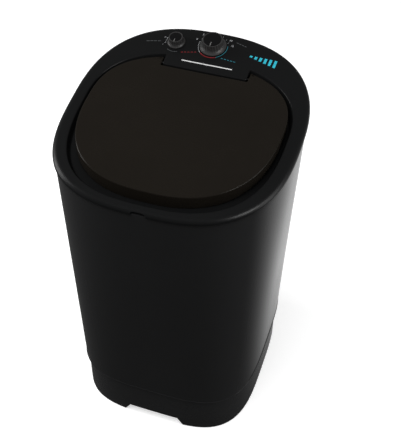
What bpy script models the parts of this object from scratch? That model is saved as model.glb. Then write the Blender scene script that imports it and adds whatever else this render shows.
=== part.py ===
"""A top-loading washing machine. A tapered plastic cabinet stands on a plinth and carries a tilted
top frame whose wide rear deck holds two dials. A smoked lid turns on two pins at the rear. The tub
hangs from the rim, with a pulsator at its bottom and the belt drive below it.

Metres, +Z up, the front faces -Y. The origin is on the floor, under the middle of the plan.
"""

import collections
import math

import bmesh
import bpy
from mathutils import Matrix, Vector

# Clearances and cuts
GAP = 0.0003  # between pieces that rest on each other
RUNNING_GAP = 0.0005  # between pieces that turn or slide on each other
OVERRUN = 0.004  # how far a cutter passes the wall that it cuts
ROUND_COUNT = 48  # points round the big outlines
TURN_COUNT = 24  # points round a turned piece
SMALL_COUNT = 12  # points round a small one
SMOOTH_ANGLE = math.radians(35)
MERGE_DISTANCE = 0.000003
STRAIGHT = math.cos(math.radians(177))  # two runs of a pipe that meet at less than this are in line

# Rim of the machine, the widest outline, where the top frame meets the cabinet
WIDTH = 0.620
DEPTH = 0.638
CENTRE_SET_BACK = 0.020  # the widest line across lies this far behind the middle
FRONT_REACH = DEPTH / 2 + CENTRE_SET_BACK  # from the widest line to the rim's front
BACK_REACH = DEPTH / 2 - CENTRE_SET_BACK
RIM_FRONT_POWER = 2.74
RIM_BACK_POWER = 2.54
RIM_FRONT_HEIGHT = 0.9038
RIM_MIDDLE_HEIGHT = 0.9351
RIM_REAR_HEIGHT = 1.0053

# Top frame
SKIRT_INSET = 0.0144
SKIRT_RISE = 0.0139
FRAME_WALL = 0.0035
LIP_SIDE_INSET = 0.0375  # from the rim to the inner lip round the lid
LIP_FRONT_INSET = 0.025
DECK_LENGTH = 0.0975  # from the lip to the rim, behind the lid
LIP_HALF_WIDTH = WIDTH / 2 - LIP_SIDE_INSET
LIP_FRONT = FRONT_REACH - LIP_FRONT_INSET
LIP_BACK = BACK_REACH - DECK_LENGTH
LIP_FRONT_POWER = 2.74
LIP_BACK_POWER = 2.45
LIP_ROUND = 0.003
GUTTER_DRAFT = 0.006  # the gutter's wall leans in by this
GUTTER_DEPTH = 0.0365  # from the lid's top to the gutter's floor
DRIP_DROP = 0.012  # the frame's inner edge hangs this far into the tub
TUB_CENTRE_Y = -0.025
GUTTER_SIDE = 0.0345  # width of the gutter from the lip to the mouth
GUTTER_FRONT = 0.062
GUTTER_BACK = 0.0565
MOUTH_HALF_WIDTH = LIP_HALF_WIDTH - GUTTER_SIDE
MOUTH_FRONT = TUB_CENTRE_Y - CENTRE_SET_BACK + LIP_FRONT - GUTTER_FRONT
MOUTH_BACK = CENTRE_SET_BACK + LIP_BACK - GUTTER_BACK - TUB_CENTRE_Y
MOUTH_POWER = 2.6
HINGE_BLOCK_HALF_WIDTH = 0.116
HINGE_BLOCK_DROP = 0.0012  # its top lies this far under the deck's surface at the lid
NOTCH_HALF_WIDTH = 0.019  # finger notch in the skirt
NOTCH_HEIGHT = 0.0085
NOTCH_ROUND = 0.004
NOTCH_DEPTH = 0.009

# Lid
LID_FRONT_RISE = 0.0172943  # of its front edge over the deck's surface carried on to there
LID_REAR_DROP = 0.0080079  # of its rear edge under the deck
LID_SIDE_SPACE = 0.0125  # between the lip and the lid
LID_FRONT_SPACE = 0.028  # for the fingers
LID_BACK_SPACE = 0.0025
LID_HALF_WIDTH = LIP_HALF_WIDTH - LID_SIDE_SPACE
LID_FRONT = LIP_FRONT - LID_FRONT_SPACE
LID_BACK = LIP_BACK - LID_BACK_SPACE
LID_FRONT_POWER = 2.5
LID_BACK_POWER = 2.45
LID_WALL = 0.003
LID_EDGE_ROUND = 0.004
LID_SKIRT_REAR = 0.016  # depth of the lid's side wall at the hinge
LID_SIDE_GAP = 0.0045  # between the lid's cut-out and the hinge block
HINGE_BEFORE_EDGE = 0.035  # from the lid's rear edge to its pins
HINGE_Y = CENTRE_SET_BACK + LID_BACK - HINGE_BEFORE_EDGE
HINGE_BLOCK_REACH = 0.0086  # from the pins to the block's front
HINGE_BLOCK_FRONT_Y = HINGE_Y - HINGE_BLOCK_REACH
HINGE_BELOW_LID = 0.0032  # further down, the open lid would meet the deck beside the block
HINGE_PIN_RADIUS = 0.0020
HINGE_PIN_LENGTH = 0.020
HINGE_PIN_CHAMFER = 0.0005
HINGE_EAR_RADIUS = 0.0040
HINGE_EAR_WIDTH = 0.018
HINGE_BORE_DEPTH = 0.0144

# Cabinet
CABINET_INSET = 0.0040  # its top edge stands this far inside the rim
CABINET_WALL = 0.0040
CABINET_RISE = 0.0005  # its edge goes this far up inside the skirt
SEAM_HEIGHT = 0.144
SEAM_SIDE_INSET = 0.038  # the taper, from the rim down to the seam
SEAM_FRONT_INSET = 0.032
SEAM_BACK_INSET = 0.008
SEAM_HALF_WIDTH = WIDTH / 2 - SEAM_SIDE_INSET
SEAM_FRONT = FRONT_REACH - SEAM_FRONT_INSET
SEAM_BACK = BACK_REACH - SEAM_BACK_INSET
SEAM_POWER = 3.63
SEAM_FLANGE = 0.016
SEAM_ROUND = 0.0030

# Plinth
PLINTH_INSET = 0.006
PLINTH_WALL = 0.0045
PLINTH_BOTTOM = 0.003
PLINTH_DECK_HEIGHT = 0.115
PLINTH_DECK_WALL = 0.0045
CUTOUT_BOTTOM_HALF_WIDTH = 0.093
CUTOUT_TOP_HALF_WIDTH = 0.0765
CUTOUT_HEIGHT = 0.031
FOOT_BOSS_RADIUS = 0.030
FOOT_SIDE_INSET = 0.082  # from the seam to the foot's middle
FOOT_BACK_INSET = 0.086
FOOT_BOSS_X = SEAM_HALF_WIDTH - FOOT_SIDE_INSET
FOOT_BOSS_Y = SEAM_BACK - FOOT_BACK_INSET  # in front of the widest line, and behind it
PAD_RADIUS = 0.026
PAD_STEM_RADIUS = 0.008
PAD_STEM_LENGTH = 0.012
PAD_HOLE_RADIUS = 0.0084
PAD_HOLE_DEPTH = 0.014

# Tub
TUB_WALL = 0.0035
TUB_MOUTH_GAP = 0.0020  # between the frame's drip edge and the tub's mouth
TUB_LIP_THICKNESS = 0.0025
TUB_UPSTAND_INSET = 0.0010  # inside the cabinet's inner face at the rim
TUB_UPSTAND_DRAFT = 0.0045  # further inside at the foot of the upstand
TUB_SHOULDER_HEIGHT = 0.855
TUB_SHOULDER_OUTSET = 0.001  # the shoulder is this much wider than the mouth above it
TUB_SIDE_TAPER = 0.043
TUB_REACH_TAPER = 0.018
TUB_SHOULDER_HALF_WIDTH = MOUTH_HALF_WIDTH + TUB_SHOULDER_OUTSET
TUB_SHOULDER_REACH = MOUTH_FRONT + TUB_SHOULDER_OUTSET
TUB_BOTTOM_HALF_WIDTH = TUB_SHOULDER_HALF_WIDTH - TUB_SIDE_TAPER
TUB_BOTTOM_REACH = TUB_SHOULDER_REACH - TUB_REACH_TAPER
TUB_BOTTOM_POWER = 2.2
TUB_FLOOR_HEIGHT = 0.360
TUB_FLOOR_ROUND = 0.035
TUB_FLOOR_FALL = 0.006  # the floor falls this much to its drain ring
TUB_BORE_RADIUS = 0.0205
TUB_HOLE_SHARES = (0.62, 0.62)  # where the drain hole lies, as shares of the floor's half sizes

# Pulsator and its shaft
PULSATOR_SIDE_SPACE = 0.050  # between its rim and the tub's wall
PULSATOR_RADIUS = min(TUB_BOTTOM_HALF_WIDTH, TUB_BOTTOM_REACH) - PULSATOR_SIDE_SPACE
PULSATOR_CLEARANCE = 0.010  # above the tub's bearing seat
PULSATOR_RIM_THICKNESS = 0.006
PULSATOR_HUB_RADIUS = 0.042
PULSATOR_HUB_HEIGHT = 0.058
PULSATOR_VANE_START = 0.019  # radius at which the vanes begin to rise
PULSATOR_VANE_END_SHARE = 0.94  # of the swell, so that the vanes still stand a little at the rim
PULSATOR_VANE_HEIGHT = 0.030
PULSATOR_VANES = 4
PULSATOR_CAP_RADIUS = 0.014
PULSATOR_CAP_HEIGHT = 0.006
PULSATOR_CAP_CROWN = 0.0042  # of the cap above the hub
PULSATOR_CAP_FLAT = 0.0098  # radius at which the cap starts to round over
SHAFT_RADIUS = 0.010
SHAFT_TOP_ENGAGEMENT = 0.030  # how far the shaft reaches into the pulsator
HOUSING_FLANGE_RADIUS = 0.065
HOUSING_FLANGE_THICKNESS = 0.006
HOUSING_WALL = 0.006
HOUSING_LENGTH = 0.088
BEARING_HEIGHT = 0.014
BEARING_OUTER_RADIUS = 0.018
HOUSING_STEP = 0.003  # ledge that the bearings seat against
SEAL_HEIGHT = 0.007
BEARING_INNER_GAP = 0.0002

# Belt drive
MOTOR_REAR_SPACE = 0.146  # from the motor's axis to the seam behind it
MOTOR_SET_BACK = SEAM_BACK + CENTRE_SET_BACK - TUB_CENTRE_Y - MOTOR_REAR_SPACE
PULLEY_RADIUS = 0.108
PULLEY_THICKNESS = 0.020
PULLEY_WEB = 0.005
PULLEY_RIM = 0.016
PULLEY_HUB_RADIUS = 0.020
PULLEY_GROOVE = 0.008
PULLEY_HOLE_RADIUS = 0.017
PULLEY_HOLES = 6
PULLEY_BELOW_HOUSING = 0.006
MOTOR_PULLEY_RADIUS = 0.0245
MOTOR_SHAFT_RADIUS = 0.006
BELT_TOP_WIDTH = 0.010
BELT_BOTTOM_WIDTH = 0.006
BELT_THICKNESS = 0.0065
BELT_CLEARANCE = 0.0006
MOTOR_RADIUS = 0.066
MOTOR_BELL_RADIUS = 0.050
MOTOR_BELL_HEIGHT = 0.018
MOTOR_BOSS_RADIUS = 0.016
MOTOR_BOSS_HEIGHT = 0.006
MOTOR_TOP_GAP = 0.003  # between the motor's boss and its pulley
BRACKET_HALF_SIDE = 0.082
BRACKET_THICKNESS = 0.003
BRACKET_FLANGE = 0.018
BRACKET_HOLE_RADIUS = 0.020
BUSH_RADIUS = 0.011
BUSH_HEIGHT = 0.008
BUSH_INSET = 0.016
CAPACITOR_RADIUS = 0.0200
CAPACITOR_HEIGHT = 0.078
CAPACITOR_X = 0.135
CAPACITOR_Y = TUB_CENTRE_Y + MOTOR_SET_BACK
CLIP_WALL = 0.0015
CLIP_HEIGHT = 0.022
CLIP_FLOOR = 0.003

# Dials, on the rear deck
TIMER_X = -0.003
TIMER_BEHIND_LIP = 0.0425
TIMER_Y = CENTRE_SET_BACK + LIP_BACK + TIMER_BEHIND_LIP
TIMER_TOP_RADIUS = 0.0275
TIMER_BASE_RADIUS = 0.0365
TIMER_HEIGHT = 0.026
TIMER_BODY_HALF_SIDE = 0.024
TIMER_BODY_DEPTH = 0.034
SELECTOR_X = -0.104
SELECTOR_BEHIND_LIP = 0.0325
SELECTOR_Y = CENTRE_SET_BACK + LIP_BACK + SELECTOR_BEHIND_LIP
SELECTOR_TOP_RADIUS = 0.0195
SELECTOR_BASE_RADIUS = 0.0245
SELECTOR_HEIGHT = 0.0205
SELECTOR_BODY_HALF_SIDE = 0.0120
SELECTOR_BODY_DEPTH = 0.026
KNOB_LIFT = 0.0010
KNOB_WALL = 0.0030
KNOB_ROUND = 0.0020
KNOB_HUB_WALL = 0.0025
KNOB_BORE_SHARE = 0.55  # of the knob's height
KNOB_COLLAR_SHARE = 0.30  # height of the flared collar, of the knob's height
KNOB_WAIST_SHARE = 0.12  # how far the collar's top is drawn in towards the grip's radius
FLUTE_DEPTH = 0.0012
FLUTES = 12
POINTER_WIDTH = 0.0030
POINTER_HEIGHT = 0.0014
POINTER_SHARES = (0.35, 0.92)  # from and to, of the knob's top radius
CONTROL_SHAFT_RADIUS = 0.0030
CONTROL_HOLE_RADIUS = 0.0045

# Lint filter on the tub's rear wall
FILTER_HALF_WIDTH = 0.048
FILTER_HEIGHT = 0.130
FILTER_THICKNESS = 0.010
FILTER_BOTTOM = 0.560
FILTER_FRAME = 0.008
FILTER_BARS = 9
FILTER_BAR_WIDTH = 0.003
FILTER_GRIP_HEIGHT = 0.010
HOLDER_WALL = 0.0030
HOLDER_HEIGHT = 0.120
HOLDER_LIP = 0.005

# Rear fittings
COVER_BOTTOM = 0.190
COVER_TOP = 0.350
COVER_HALF_WIDTH = 0.110
COVER_THICKNESS = 0.0030
COVER_OVERLAP = 0.014
GLAND_TOWARDS_COVER = 0.026  # from halfway between the cover's edge and the side
GLAND_X = (COVER_HALF_WIDTH + SEAM_HALF_WIDTH) / 2 - GLAND_TOWARDS_COVER
GLAND_HEIGHT = 0.200
GLAND_RADIUS = 0.0130
GLAND_HOLE_RADIUS = 0.0085
GLAND_BORE_RADIUS = 0.0040
GLAND_LENGTH = 0.016
DRAIN_BESIDE_COVER = 0.040
DRAIN_X = -COVER_HALF_WIDTH - DRAIN_BESIDE_COVER
DRAIN_HEIGHT = 0.215
DRAIN_RADIUS = 0.0140
DRAIN_WALL = 0.0025
DRAIN_BEND = 0.034  # each corner of the pipe starts to turn this far before it
DRAIN_STUB = 0.018  # length outside the cabinet
DRAIN_COLLAR_RADIUS = 0.024
DRAIN_COLLAR_THICKNESS = 0.0035
DRAIN_CLEARANCE = 0.0008  # round the pipe, where it passes the wall and its collar

# Colours, with roughness and metallic share
BLACK_GLOSS = ((0.012, 0.012, 0.013, 1.0), 0.22, 0.0)
BLACK_SATIN = ((0.014, 0.014, 0.015, 1.0), 0.38, 0.0)
SMOKED = ((0.055, 0.045, 0.035, 0.60), 0.12, 0.0)
KNOB_GREY = ((0.120, 0.120, 0.125, 1.0), 0.35, 0.3)
TUB_GREY = ((0.180, 0.180, 0.185, 1.0), 0.45, 0.0)
DARK_GREY = ((0.060, 0.060, 0.065, 1.0), 0.50, 0.0)
RUBBER_BLACK = ((0.020, 0.020, 0.020, 1.0), 0.80, 0.0)
BARE_STEEL = ((0.550, 0.550, 0.560, 1.0), 0.35, 1.0)
CAST_METAL = ((0.400, 0.400, 0.410, 1.0), 0.50, 1.0)
MOTOR_PAINT = ((0.045, 0.047, 0.050, 1.0), 0.45, 0.2)
PALE_PLASTIC = ((0.620, 0.620, 0.600, 1.0), 0.50, 0.0)

Oval = collections.namedtuple("Oval", "half_width front back front_power back_power centre")


def clear_scene():
    for obj in list(bpy.data.objects):
        bpy.data.objects.remove(obj, do_unlink=True)


def material(name, look):
    """A Principled material, made once for each name."""
    colour, roughness, metallic = look
    found = bpy.data.materials.get(name)
    if found:
        return found
    made = bpy.data.materials.new(name)
    made.use_nodes = True
    shader = made.node_tree.nodes["Principled BSDF"]
    shader.inputs["Base Color"].default_value = colour
    shader.inputs["Roughness"].default_value = roughness
    shader.inputs["Metallic"].default_value = metallic
    shader.inputs["Alpha"].default_value = colour[3]
    made.diffuse_color = colour
    return made


def link(name, mesh, look, parent=None):
    """An object for this mesh, shaded smooth, with its own material."""
    obj = bpy.data.objects.new(name, mesh)
    bpy.context.scene.collection.objects.link(obj)
    mesh.materials.append(material(name, look))
    mesh.shade_smooth()
    mesh.set_sharp_from_angle(angle=SMOOTH_ANGLE)
    obj.parent = parent
    return obj


def axis_empty(name, matrix):
    """An empty on a joint's axis, which carries the pieces that move with it."""
    empty = bpy.data.objects.new(name, None)
    empty.matrix_world = matrix
    bpy.context.scene.collection.objects.link(empty)
    return empty


def finished(bm, name):
    bmesh.ops.recalc_face_normals(bm, faces=bm.faces)
    mesh = bpy.data.meshes.new(name)
    bm.to_mesh(mesh)
    bm.free()
    return mesh


def loft_mesh(name, loops, ring=False):
    """A closed mesh through loops of points. A ring joins its last loop to its first, and
    otherwise both ends are capped."""
    bm = bmesh.new()
    rows = [[bm.verts.new(point) for point in loop] for loop in loops]
    pairs = list(zip(rows, rows[1:]))
    if ring:
        pairs.append((rows[-1], rows[0]))
    for low, high in pairs:
        for i in range(len(low)):
            j = (i + 1) % len(low)
            bm.faces.new((low[i], low[j], high[j], high[i]))
    if not ring:
        bm.faces.new(rows[0])
        bm.faces.new(rows[-1])
    return finished(bm, name)


def turned_mesh(name, profile, ring=False, count=TURN_COUNT):
    """A profile of (radius, height) points spun about Z. A ring closes its profile on itself, and
    otherwise both its ends lie on the axis."""
    bm = bmesh.new()
    points = [bm.verts.new((radius, 0.0, height)) for radius, height in profile]
    edges = [bm.edges.new(pair) for pair in zip(points, points[1:])]
    if ring:
        edges.append(bm.edges.new((points[-1], points[0])))
    bmesh.ops.spin(bm, geom=points + edges, cent=(0, 0, 0), axis=(0, 0, 1),
                   angle=math.tau, steps=count, use_merge=True)
    bmesh.ops.remove_doubles(bm, verts=bm.verts, dist=MERGE_DISTANCE)
    return finished(bm, name)


def prism_mesh(name, outline, low, high, across="X"):
    """An outline of (a, b) points extruded from low to high along one axis."""
    def place(a, b, c):
        return {"X": (c, a, b), "Y": (a, c, b), "Z": (a, b, c)}[across]
    loops = [[place(a, b, c) for a, b in outline] for c in (low, high)]
    return loft_mesh(name, loops)


def box_mesh(name, low, high):
    corners = [(low[0], low[1]), (high[0], low[1]), (high[0], high[1]), (low[0], high[1])]
    return prism_mesh(name, corners, low[2], high[2], "Z")


def cylinder_mesh(name, radius, low, high, count=TURN_COUNT):
    return turned_mesh(name, [(0.0, low), (radius, low), (radius, high), (0.0, high)], count=count)


def cutter(name, mesh, matrix=None):
    obj = bpy.data.objects.new(name, mesh)
    bpy.context.scene.collection.objects.link(obj)
    obj.hide_render = True
    obj.display_type = "WIRE"
    if matrix is not None:
        obj.matrix_world = matrix
    return obj


def boolean(obj, other, operation="DIFFERENCE"):
    modifier = obj.modifiers.new(other.name, "BOOLEAN")
    modifier.operation = operation
    modifier.solver = "EXACT"
    modifier.object = other


def along(axis, place):
    """Turns a piece made along Z to lie along the axis, at this place."""
    turn = Vector((0, 0, 1)).rotation_difference(Vector(axis)).to_matrix().to_4x4()
    return Matrix.Translation(place) @ turn


def inset(oval, by):
    return oval._replace(half_width=oval.half_width - by, front=oval.front - by, back=oval.back - by)


def oval_point(oval, angle):
    """A point on the squared oval |x / a|^n + |y / b|^n = 1, whose front and back halves differ."""
    power = oval.back_power if math.sin(angle) >= 0 else oval.front_power
    reach = oval.back if math.sin(angle) >= 0 else oval.front
    x = math.copysign(abs(math.cos(angle)) ** (2 / power), math.cos(angle))
    y = math.copysign(abs(math.sin(angle)) ** (2 / power), math.sin(angle))
    return x * oval.half_width, oval.centre + y * reach


def loop(oval, height, count=ROUND_COUNT):
    """Points round the oval. The height is a number, or a function of y."""
    points = [oval_point(oval, math.tau * i / count) for i in range(count)]
    return [(x, y, height(y) if callable(height) else height) for x, y in points]


def rim_height(y):
    """The curve through the rim's heights at the front, the middle and the rear."""
    at = y / (DEPTH / 2)
    rise = (RIM_REAR_HEIGHT - RIM_FRONT_HEIGHT) / 2
    bow = (RIM_REAR_HEIGHT + RIM_FRONT_HEIGHT) / 2 - RIM_MIDDLE_HEIGHT
    return RIM_MIDDLE_HEIGHT + rise * at + bow * at * at


def rim_slope(y):
    at = y / (DEPTH / 2)
    rise = (RIM_REAR_HEIGHT - RIM_FRONT_HEIGHT) / 2
    bow = (RIM_REAR_HEIGHT + RIM_FRONT_HEIGHT) / 2 - RIM_MIDDLE_HEIGHT
    return (rise + 2 * bow * at) / (DEPTH / 2)


def deck_height(y):
    return rim_height(y) + SKIRT_RISE


def lid_height(y):
    front = CENTRE_SET_BACK - LID_FRONT
    back = CENTRE_SET_BACK + LID_BACK
    front_height = deck_height(front) + LID_FRONT_RISE
    back_height = deck_height(back) - LID_REAR_DROP
    return front_height + (y - front) / (back - front) * (back_height - front_height)


def gutter_height(y):
    return lid_height(y) - GUTTER_DEPTH


def above(surface, by):
    return lambda y: surface(y) + by


RIM = Oval(WIDTH / 2, FRONT_REACH, BACK_REACH, RIM_FRONT_POWER, RIM_BACK_POWER, CENTRE_SET_BACK)
LIP = Oval(LIP_HALF_WIDTH, LIP_FRONT, LIP_BACK, LIP_FRONT_POWER, LIP_BACK_POWER, CENTRE_SET_BACK)
LID = Oval(LID_HALF_WIDTH, LID_FRONT, LID_BACK, LID_FRONT_POWER, LID_BACK_POWER, CENTRE_SET_BACK)
SEAM = Oval(SEAM_HALF_WIDTH, SEAM_FRONT, SEAM_BACK, SEAM_POWER, SEAM_POWER, CENTRE_SET_BACK)
CABINET_TOP = inset(RIM, CABINET_INSET)
MOUTH = Oval(MOUTH_HALF_WIDTH, MOUTH_FRONT, MOUTH_BACK, MOUTH_POWER, MOUTH_POWER, TUB_CENTRE_Y)
TUB_MOUTH = inset(MOUTH, -FRAME_WALL - TUB_MOUTH_GAP)
TUB_SHOULDER = Oval(TUB_SHOULDER_HALF_WIDTH, TUB_SHOULDER_REACH, MOUTH_BACK,
                    MOUTH_POWER, MOUTH_POWER, TUB_CENTRE_Y)
TUB_BOTTOM = Oval(TUB_BOTTOM_HALF_WIDTH, TUB_BOTTOM_REACH, TUB_BOTTOM_REACH,
                  TUB_BOTTOM_POWER, TUB_BOTTOM_POWER, TUB_CENTRE_Y)

HINGE_HEIGHT = lid_height(HINGE_Y) - HINGE_BELOW_LID
TUB_DECK_DROP = GUTTER_DEPTH + FRAME_WALL + GAP  # from the lid's top to the tub's deck
TUB_UNDERSIDE = TUB_FLOOR_HEIGHT - TUB_FLOOR_FALL - TUB_WALL
HOUSING_TOP = TUB_UNDERSIDE - GAP
HOUSING_BOTTOM = HOUSING_TOP - HOUSING_LENGTH
HOUSING_RADIUS = BEARING_OUTER_RADIUS + GAP + HOUSING_WALL
PULLEY_TOP = HOUSING_BOTTOM - PULLEY_BELOW_HOUSING
PULLEY_BOTTOM = PULLEY_TOP - PULLEY_THICKNESS
PULLEY_MIDDLE = (PULLEY_TOP + PULLEY_BOTTOM) / 2
PULSATOR_BOTTOM = TUB_FLOOR_HEIGHT - TUB_FLOOR_FALL + PULSATOR_CLEARANCE
SHAFT_TOP = PULSATOR_BOTTOM + SHAFT_TOP_ENGAGEMENT
PULSATOR_AXIS = Vector((0.0, TUB_CENTRE_Y, 0.0))
MOTOR_AXIS = Vector((0.0, TUB_CENTRE_Y + MOTOR_SET_BACK, 0.0))
BRACKET_BOTTOM = PLINTH_DECK_HEIGHT + BUSH_HEIGHT + 2 * GAP
MOTOR_BOTTOM = BRACKET_BOTTOM + BRACKET_THICKNESS + GAP
MOTOR_TOP = PULLEY_BOTTOM - MOTOR_TOP_GAP


def back_wall(low, high, height):
    """The corners, from left to right, of the rear half of the faceted wall between two loops."""
    corners = []
    for a, b in zip(low, high):
        share = (height - a[2]) / (b[2] - a[2])
        corners.append((a[0] + share * (b[0] - a[0]), a[1] + share * (b[1] - a[1])))
    middle = (min(y for x, y in corners) + max(y for x, y in corners)) / 2
    return sorted(point for point in corners if point[1] > middle)


def wall_at(corners, x):
    """Where the wall through these corners passes this x."""
    for first, second in zip(corners, corners[1:]):
        if first[0] <= x <= second[0]:
            share = (x - first[0]) / (second[0] - first[0])
            return first[1] + share * (second[1] - first[1])
    return corners[0][1]


def cabinet_back(height):
    low = loop(SEAM, SEAM_HEIGHT + SEAM_ROUND)
    high = loop(CABINET_TOP, above(rim_height, CABINET_RISE))
    return back_wall(low, high, height)


def tub_back(height):
    low = loop(TUB_BOTTOM, TUB_FLOOR_HEIGHT + TUB_FLOOR_ROUND)
    high = loop(TUB_SHOULDER, TUB_SHOULDER_HEIGHT)
    return back_wall(low, high, height)


def make_cabinet():
    top = above(rim_height, CABINET_RISE)
    flange_top = SEAM_HEIGHT + CABINET_WALL
    loops = [
        loop(inset(SEAM, SEAM_ROUND), SEAM_HEIGHT),
        loop(SEAM, SEAM_HEIGHT + SEAM_ROUND),
        loop(CABINET_TOP, top),
        loop(inset(CABINET_TOP, CABINET_WALL), top),
        loop(inset(SEAM, CABINET_WALL), flange_top),
        loop(inset(SEAM, SEAM_FLANGE), flange_top),
        loop(inset(SEAM, SEAM_FLANGE), SEAM_HEIGHT),
    ]
    cabinet = link("cabinet", loft_mesh("cabinet", loops, ring=True), BLACK_SATIN)
    wall_y = SEAM.centre + SEAM.back
    low = (-COVER_HALF_WIDTH + COVER_OVERLAP, wall_y - 3 * SEAM_FLANGE, COVER_BOTTOM + COVER_OVERLAP)
    high = (COVER_HALF_WIDTH - COVER_OVERLAP, wall_y + SEAM_FLANGE, COVER_TOP - COVER_OVERLAP)
    boolean(cabinet, cutter("cut_service_opening", box_mesh("cut_service_opening", low, high)))
    for name, x, height, radius in (
        ("cut_gland_hole", GLAND_X, GLAND_HEIGHT, GLAND_HOLE_RADIUS + GAP),
        ("cut_drain_hole", DRAIN_X, DRAIN_HEIGHT, DRAIN_RADIUS + DRAIN_CLEARANCE),
    ):
        mesh = cylinder_mesh(name, radius, -SEAM_FLANGE, 2 * SEAM_FLANGE, SMALL_COUNT)
        place = (x, wall_at(cabinet_back(height), x) - SEAM_FLANGE, height)
        boolean(cabinet, cutter(name, mesh, along((0, 1, 0), place)))
    return cabinet


def make_plinth():
    outer = inset(SEAM, PLINTH_INSET)
    inner = inset(outer, PLINTH_WALL)
    top = SEAM_HEIGHT - GAP
    under = PLINTH_DECK_HEIGHT - PLINTH_DECK_WALL
    loops = [
        loop(inner, under),
        loop(inner, PLINTH_BOTTOM),
        loop(outer, PLINTH_BOTTOM),
        loop(outer, top),
        loop(inner, top),
        loop(inner, PLINTH_DECK_HEIGHT),
    ]
    plinth = link("base_plinth", loft_mesh("base_plinth", loops), BLACK_SATIN)
    front = outer.centre - outer.front
    back = outer.centre + outer.back
    for side, y in (("front", front), ("rear", back)):
        outline = [
            (-CUTOUT_BOTTOM_HALF_WIDTH, PLINTH_BOTTOM - OVERRUN),
            (CUTOUT_BOTTOM_HALF_WIDTH, PLINTH_BOTTOM - OVERRUN),
            (CUTOUT_BOTTOM_HALF_WIDTH, PLINTH_BOTTOM),
            (CUTOUT_TOP_HALF_WIDTH, CUTOUT_HEIGHT),
            (-CUTOUT_TOP_HALF_WIDTH, CUTOUT_HEIGHT),
            (-CUTOUT_BOTTOM_HALF_WIDTH, PLINTH_BOTTOM),
        ]
        name = "cut_plinth_" + side
        mesh = prism_mesh(name, outline, y - 2 * OVERRUN - PLINTH_WALL, y + 2 * OVERRUN + PLINTH_WALL, "Y")
        boolean(plinth, cutter(name, mesh))
    for side, x, y in foot_places():
        name = "boss_" + side
        mesh = cylinder_mesh(name, FOOT_BOSS_RADIUS, PLINTH_BOTTOM, under + PLINTH_DECK_WALL / 2, SMALL_COUNT)
        boolean(plinth, cutter(name, mesh, Matrix.Translation((x, y, 0))), "UNION")
    for side, x, y in foot_places():
        name = "cut_pad_" + side
        mesh = cylinder_mesh(name, PAD_HOLE_RADIUS, PLINTH_BOTTOM - OVERRUN,
                             PLINTH_BOTTOM + PAD_HOLE_DEPTH, SMALL_COUNT)
        boolean(plinth, cutter(name, mesh, Matrix.Translation((x, y, 0))))
    return plinth


def foot_places():
    rows = (("front", CENTRE_SET_BACK - FOOT_BOSS_Y), ("rear", CENTRE_SET_BACK + FOOT_BOSS_Y))
    sides = (("left", -FOOT_BOSS_X), ("right", FOOT_BOSS_X))
    return [(depth + "_" + side, x, y) for depth, y in rows for side, x in sides]


def make_pads():
    """Rubber pads under the plinth's four bosses, each with a stem pressed up into its boss."""
    profile = [
        (0.0, 0.0),
        (PAD_RADIUS - PLINTH_BOTTOM / 2, 0.0),
        (PAD_RADIUS, PLINTH_BOTTOM / 2),
        (PAD_RADIUS, PLINTH_BOTTOM - GAP),
        (PAD_STEM_RADIUS, PLINTH_BOTTOM - GAP),
        (PAD_STEM_RADIUS, PAD_STEM_LENGTH),
        (0.0, PAD_STEM_LENGTH),
    ]
    for side, x, y in foot_places():
        name = "foot_pad_" + side
        pad = link(name, turned_mesh(name, profile, count=SMALL_COUNT), RUBBER_BLACK)
        pad.location = (x, y, 0.0)


def skirt_loops():
    """The rounded skirt, a quarter ellipse from the joint up to the crest."""
    steps = 4
    loops = []
    for i in range(steps + 1):
        angle = math.pi / 2 * i / steps
        loops.append(loop(inset(RIM, SKIRT_INSET * (1 - math.cos(angle))),
                          above(rim_height, SKIRT_RISE * math.sin(angle))))
    return loops


def between(first, second, share, height):
    """A loop part of the way from one oval's outline to another's."""
    pairs = zip(loop(first, 0.0), loop(second, 0.0))
    points = [((1 - share) * a[0] + share * b[0], (1 - share) * a[1] + share * b[1]) for a, b in pairs]
    return [(x, y, height(y)) for x, y in points]


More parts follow.
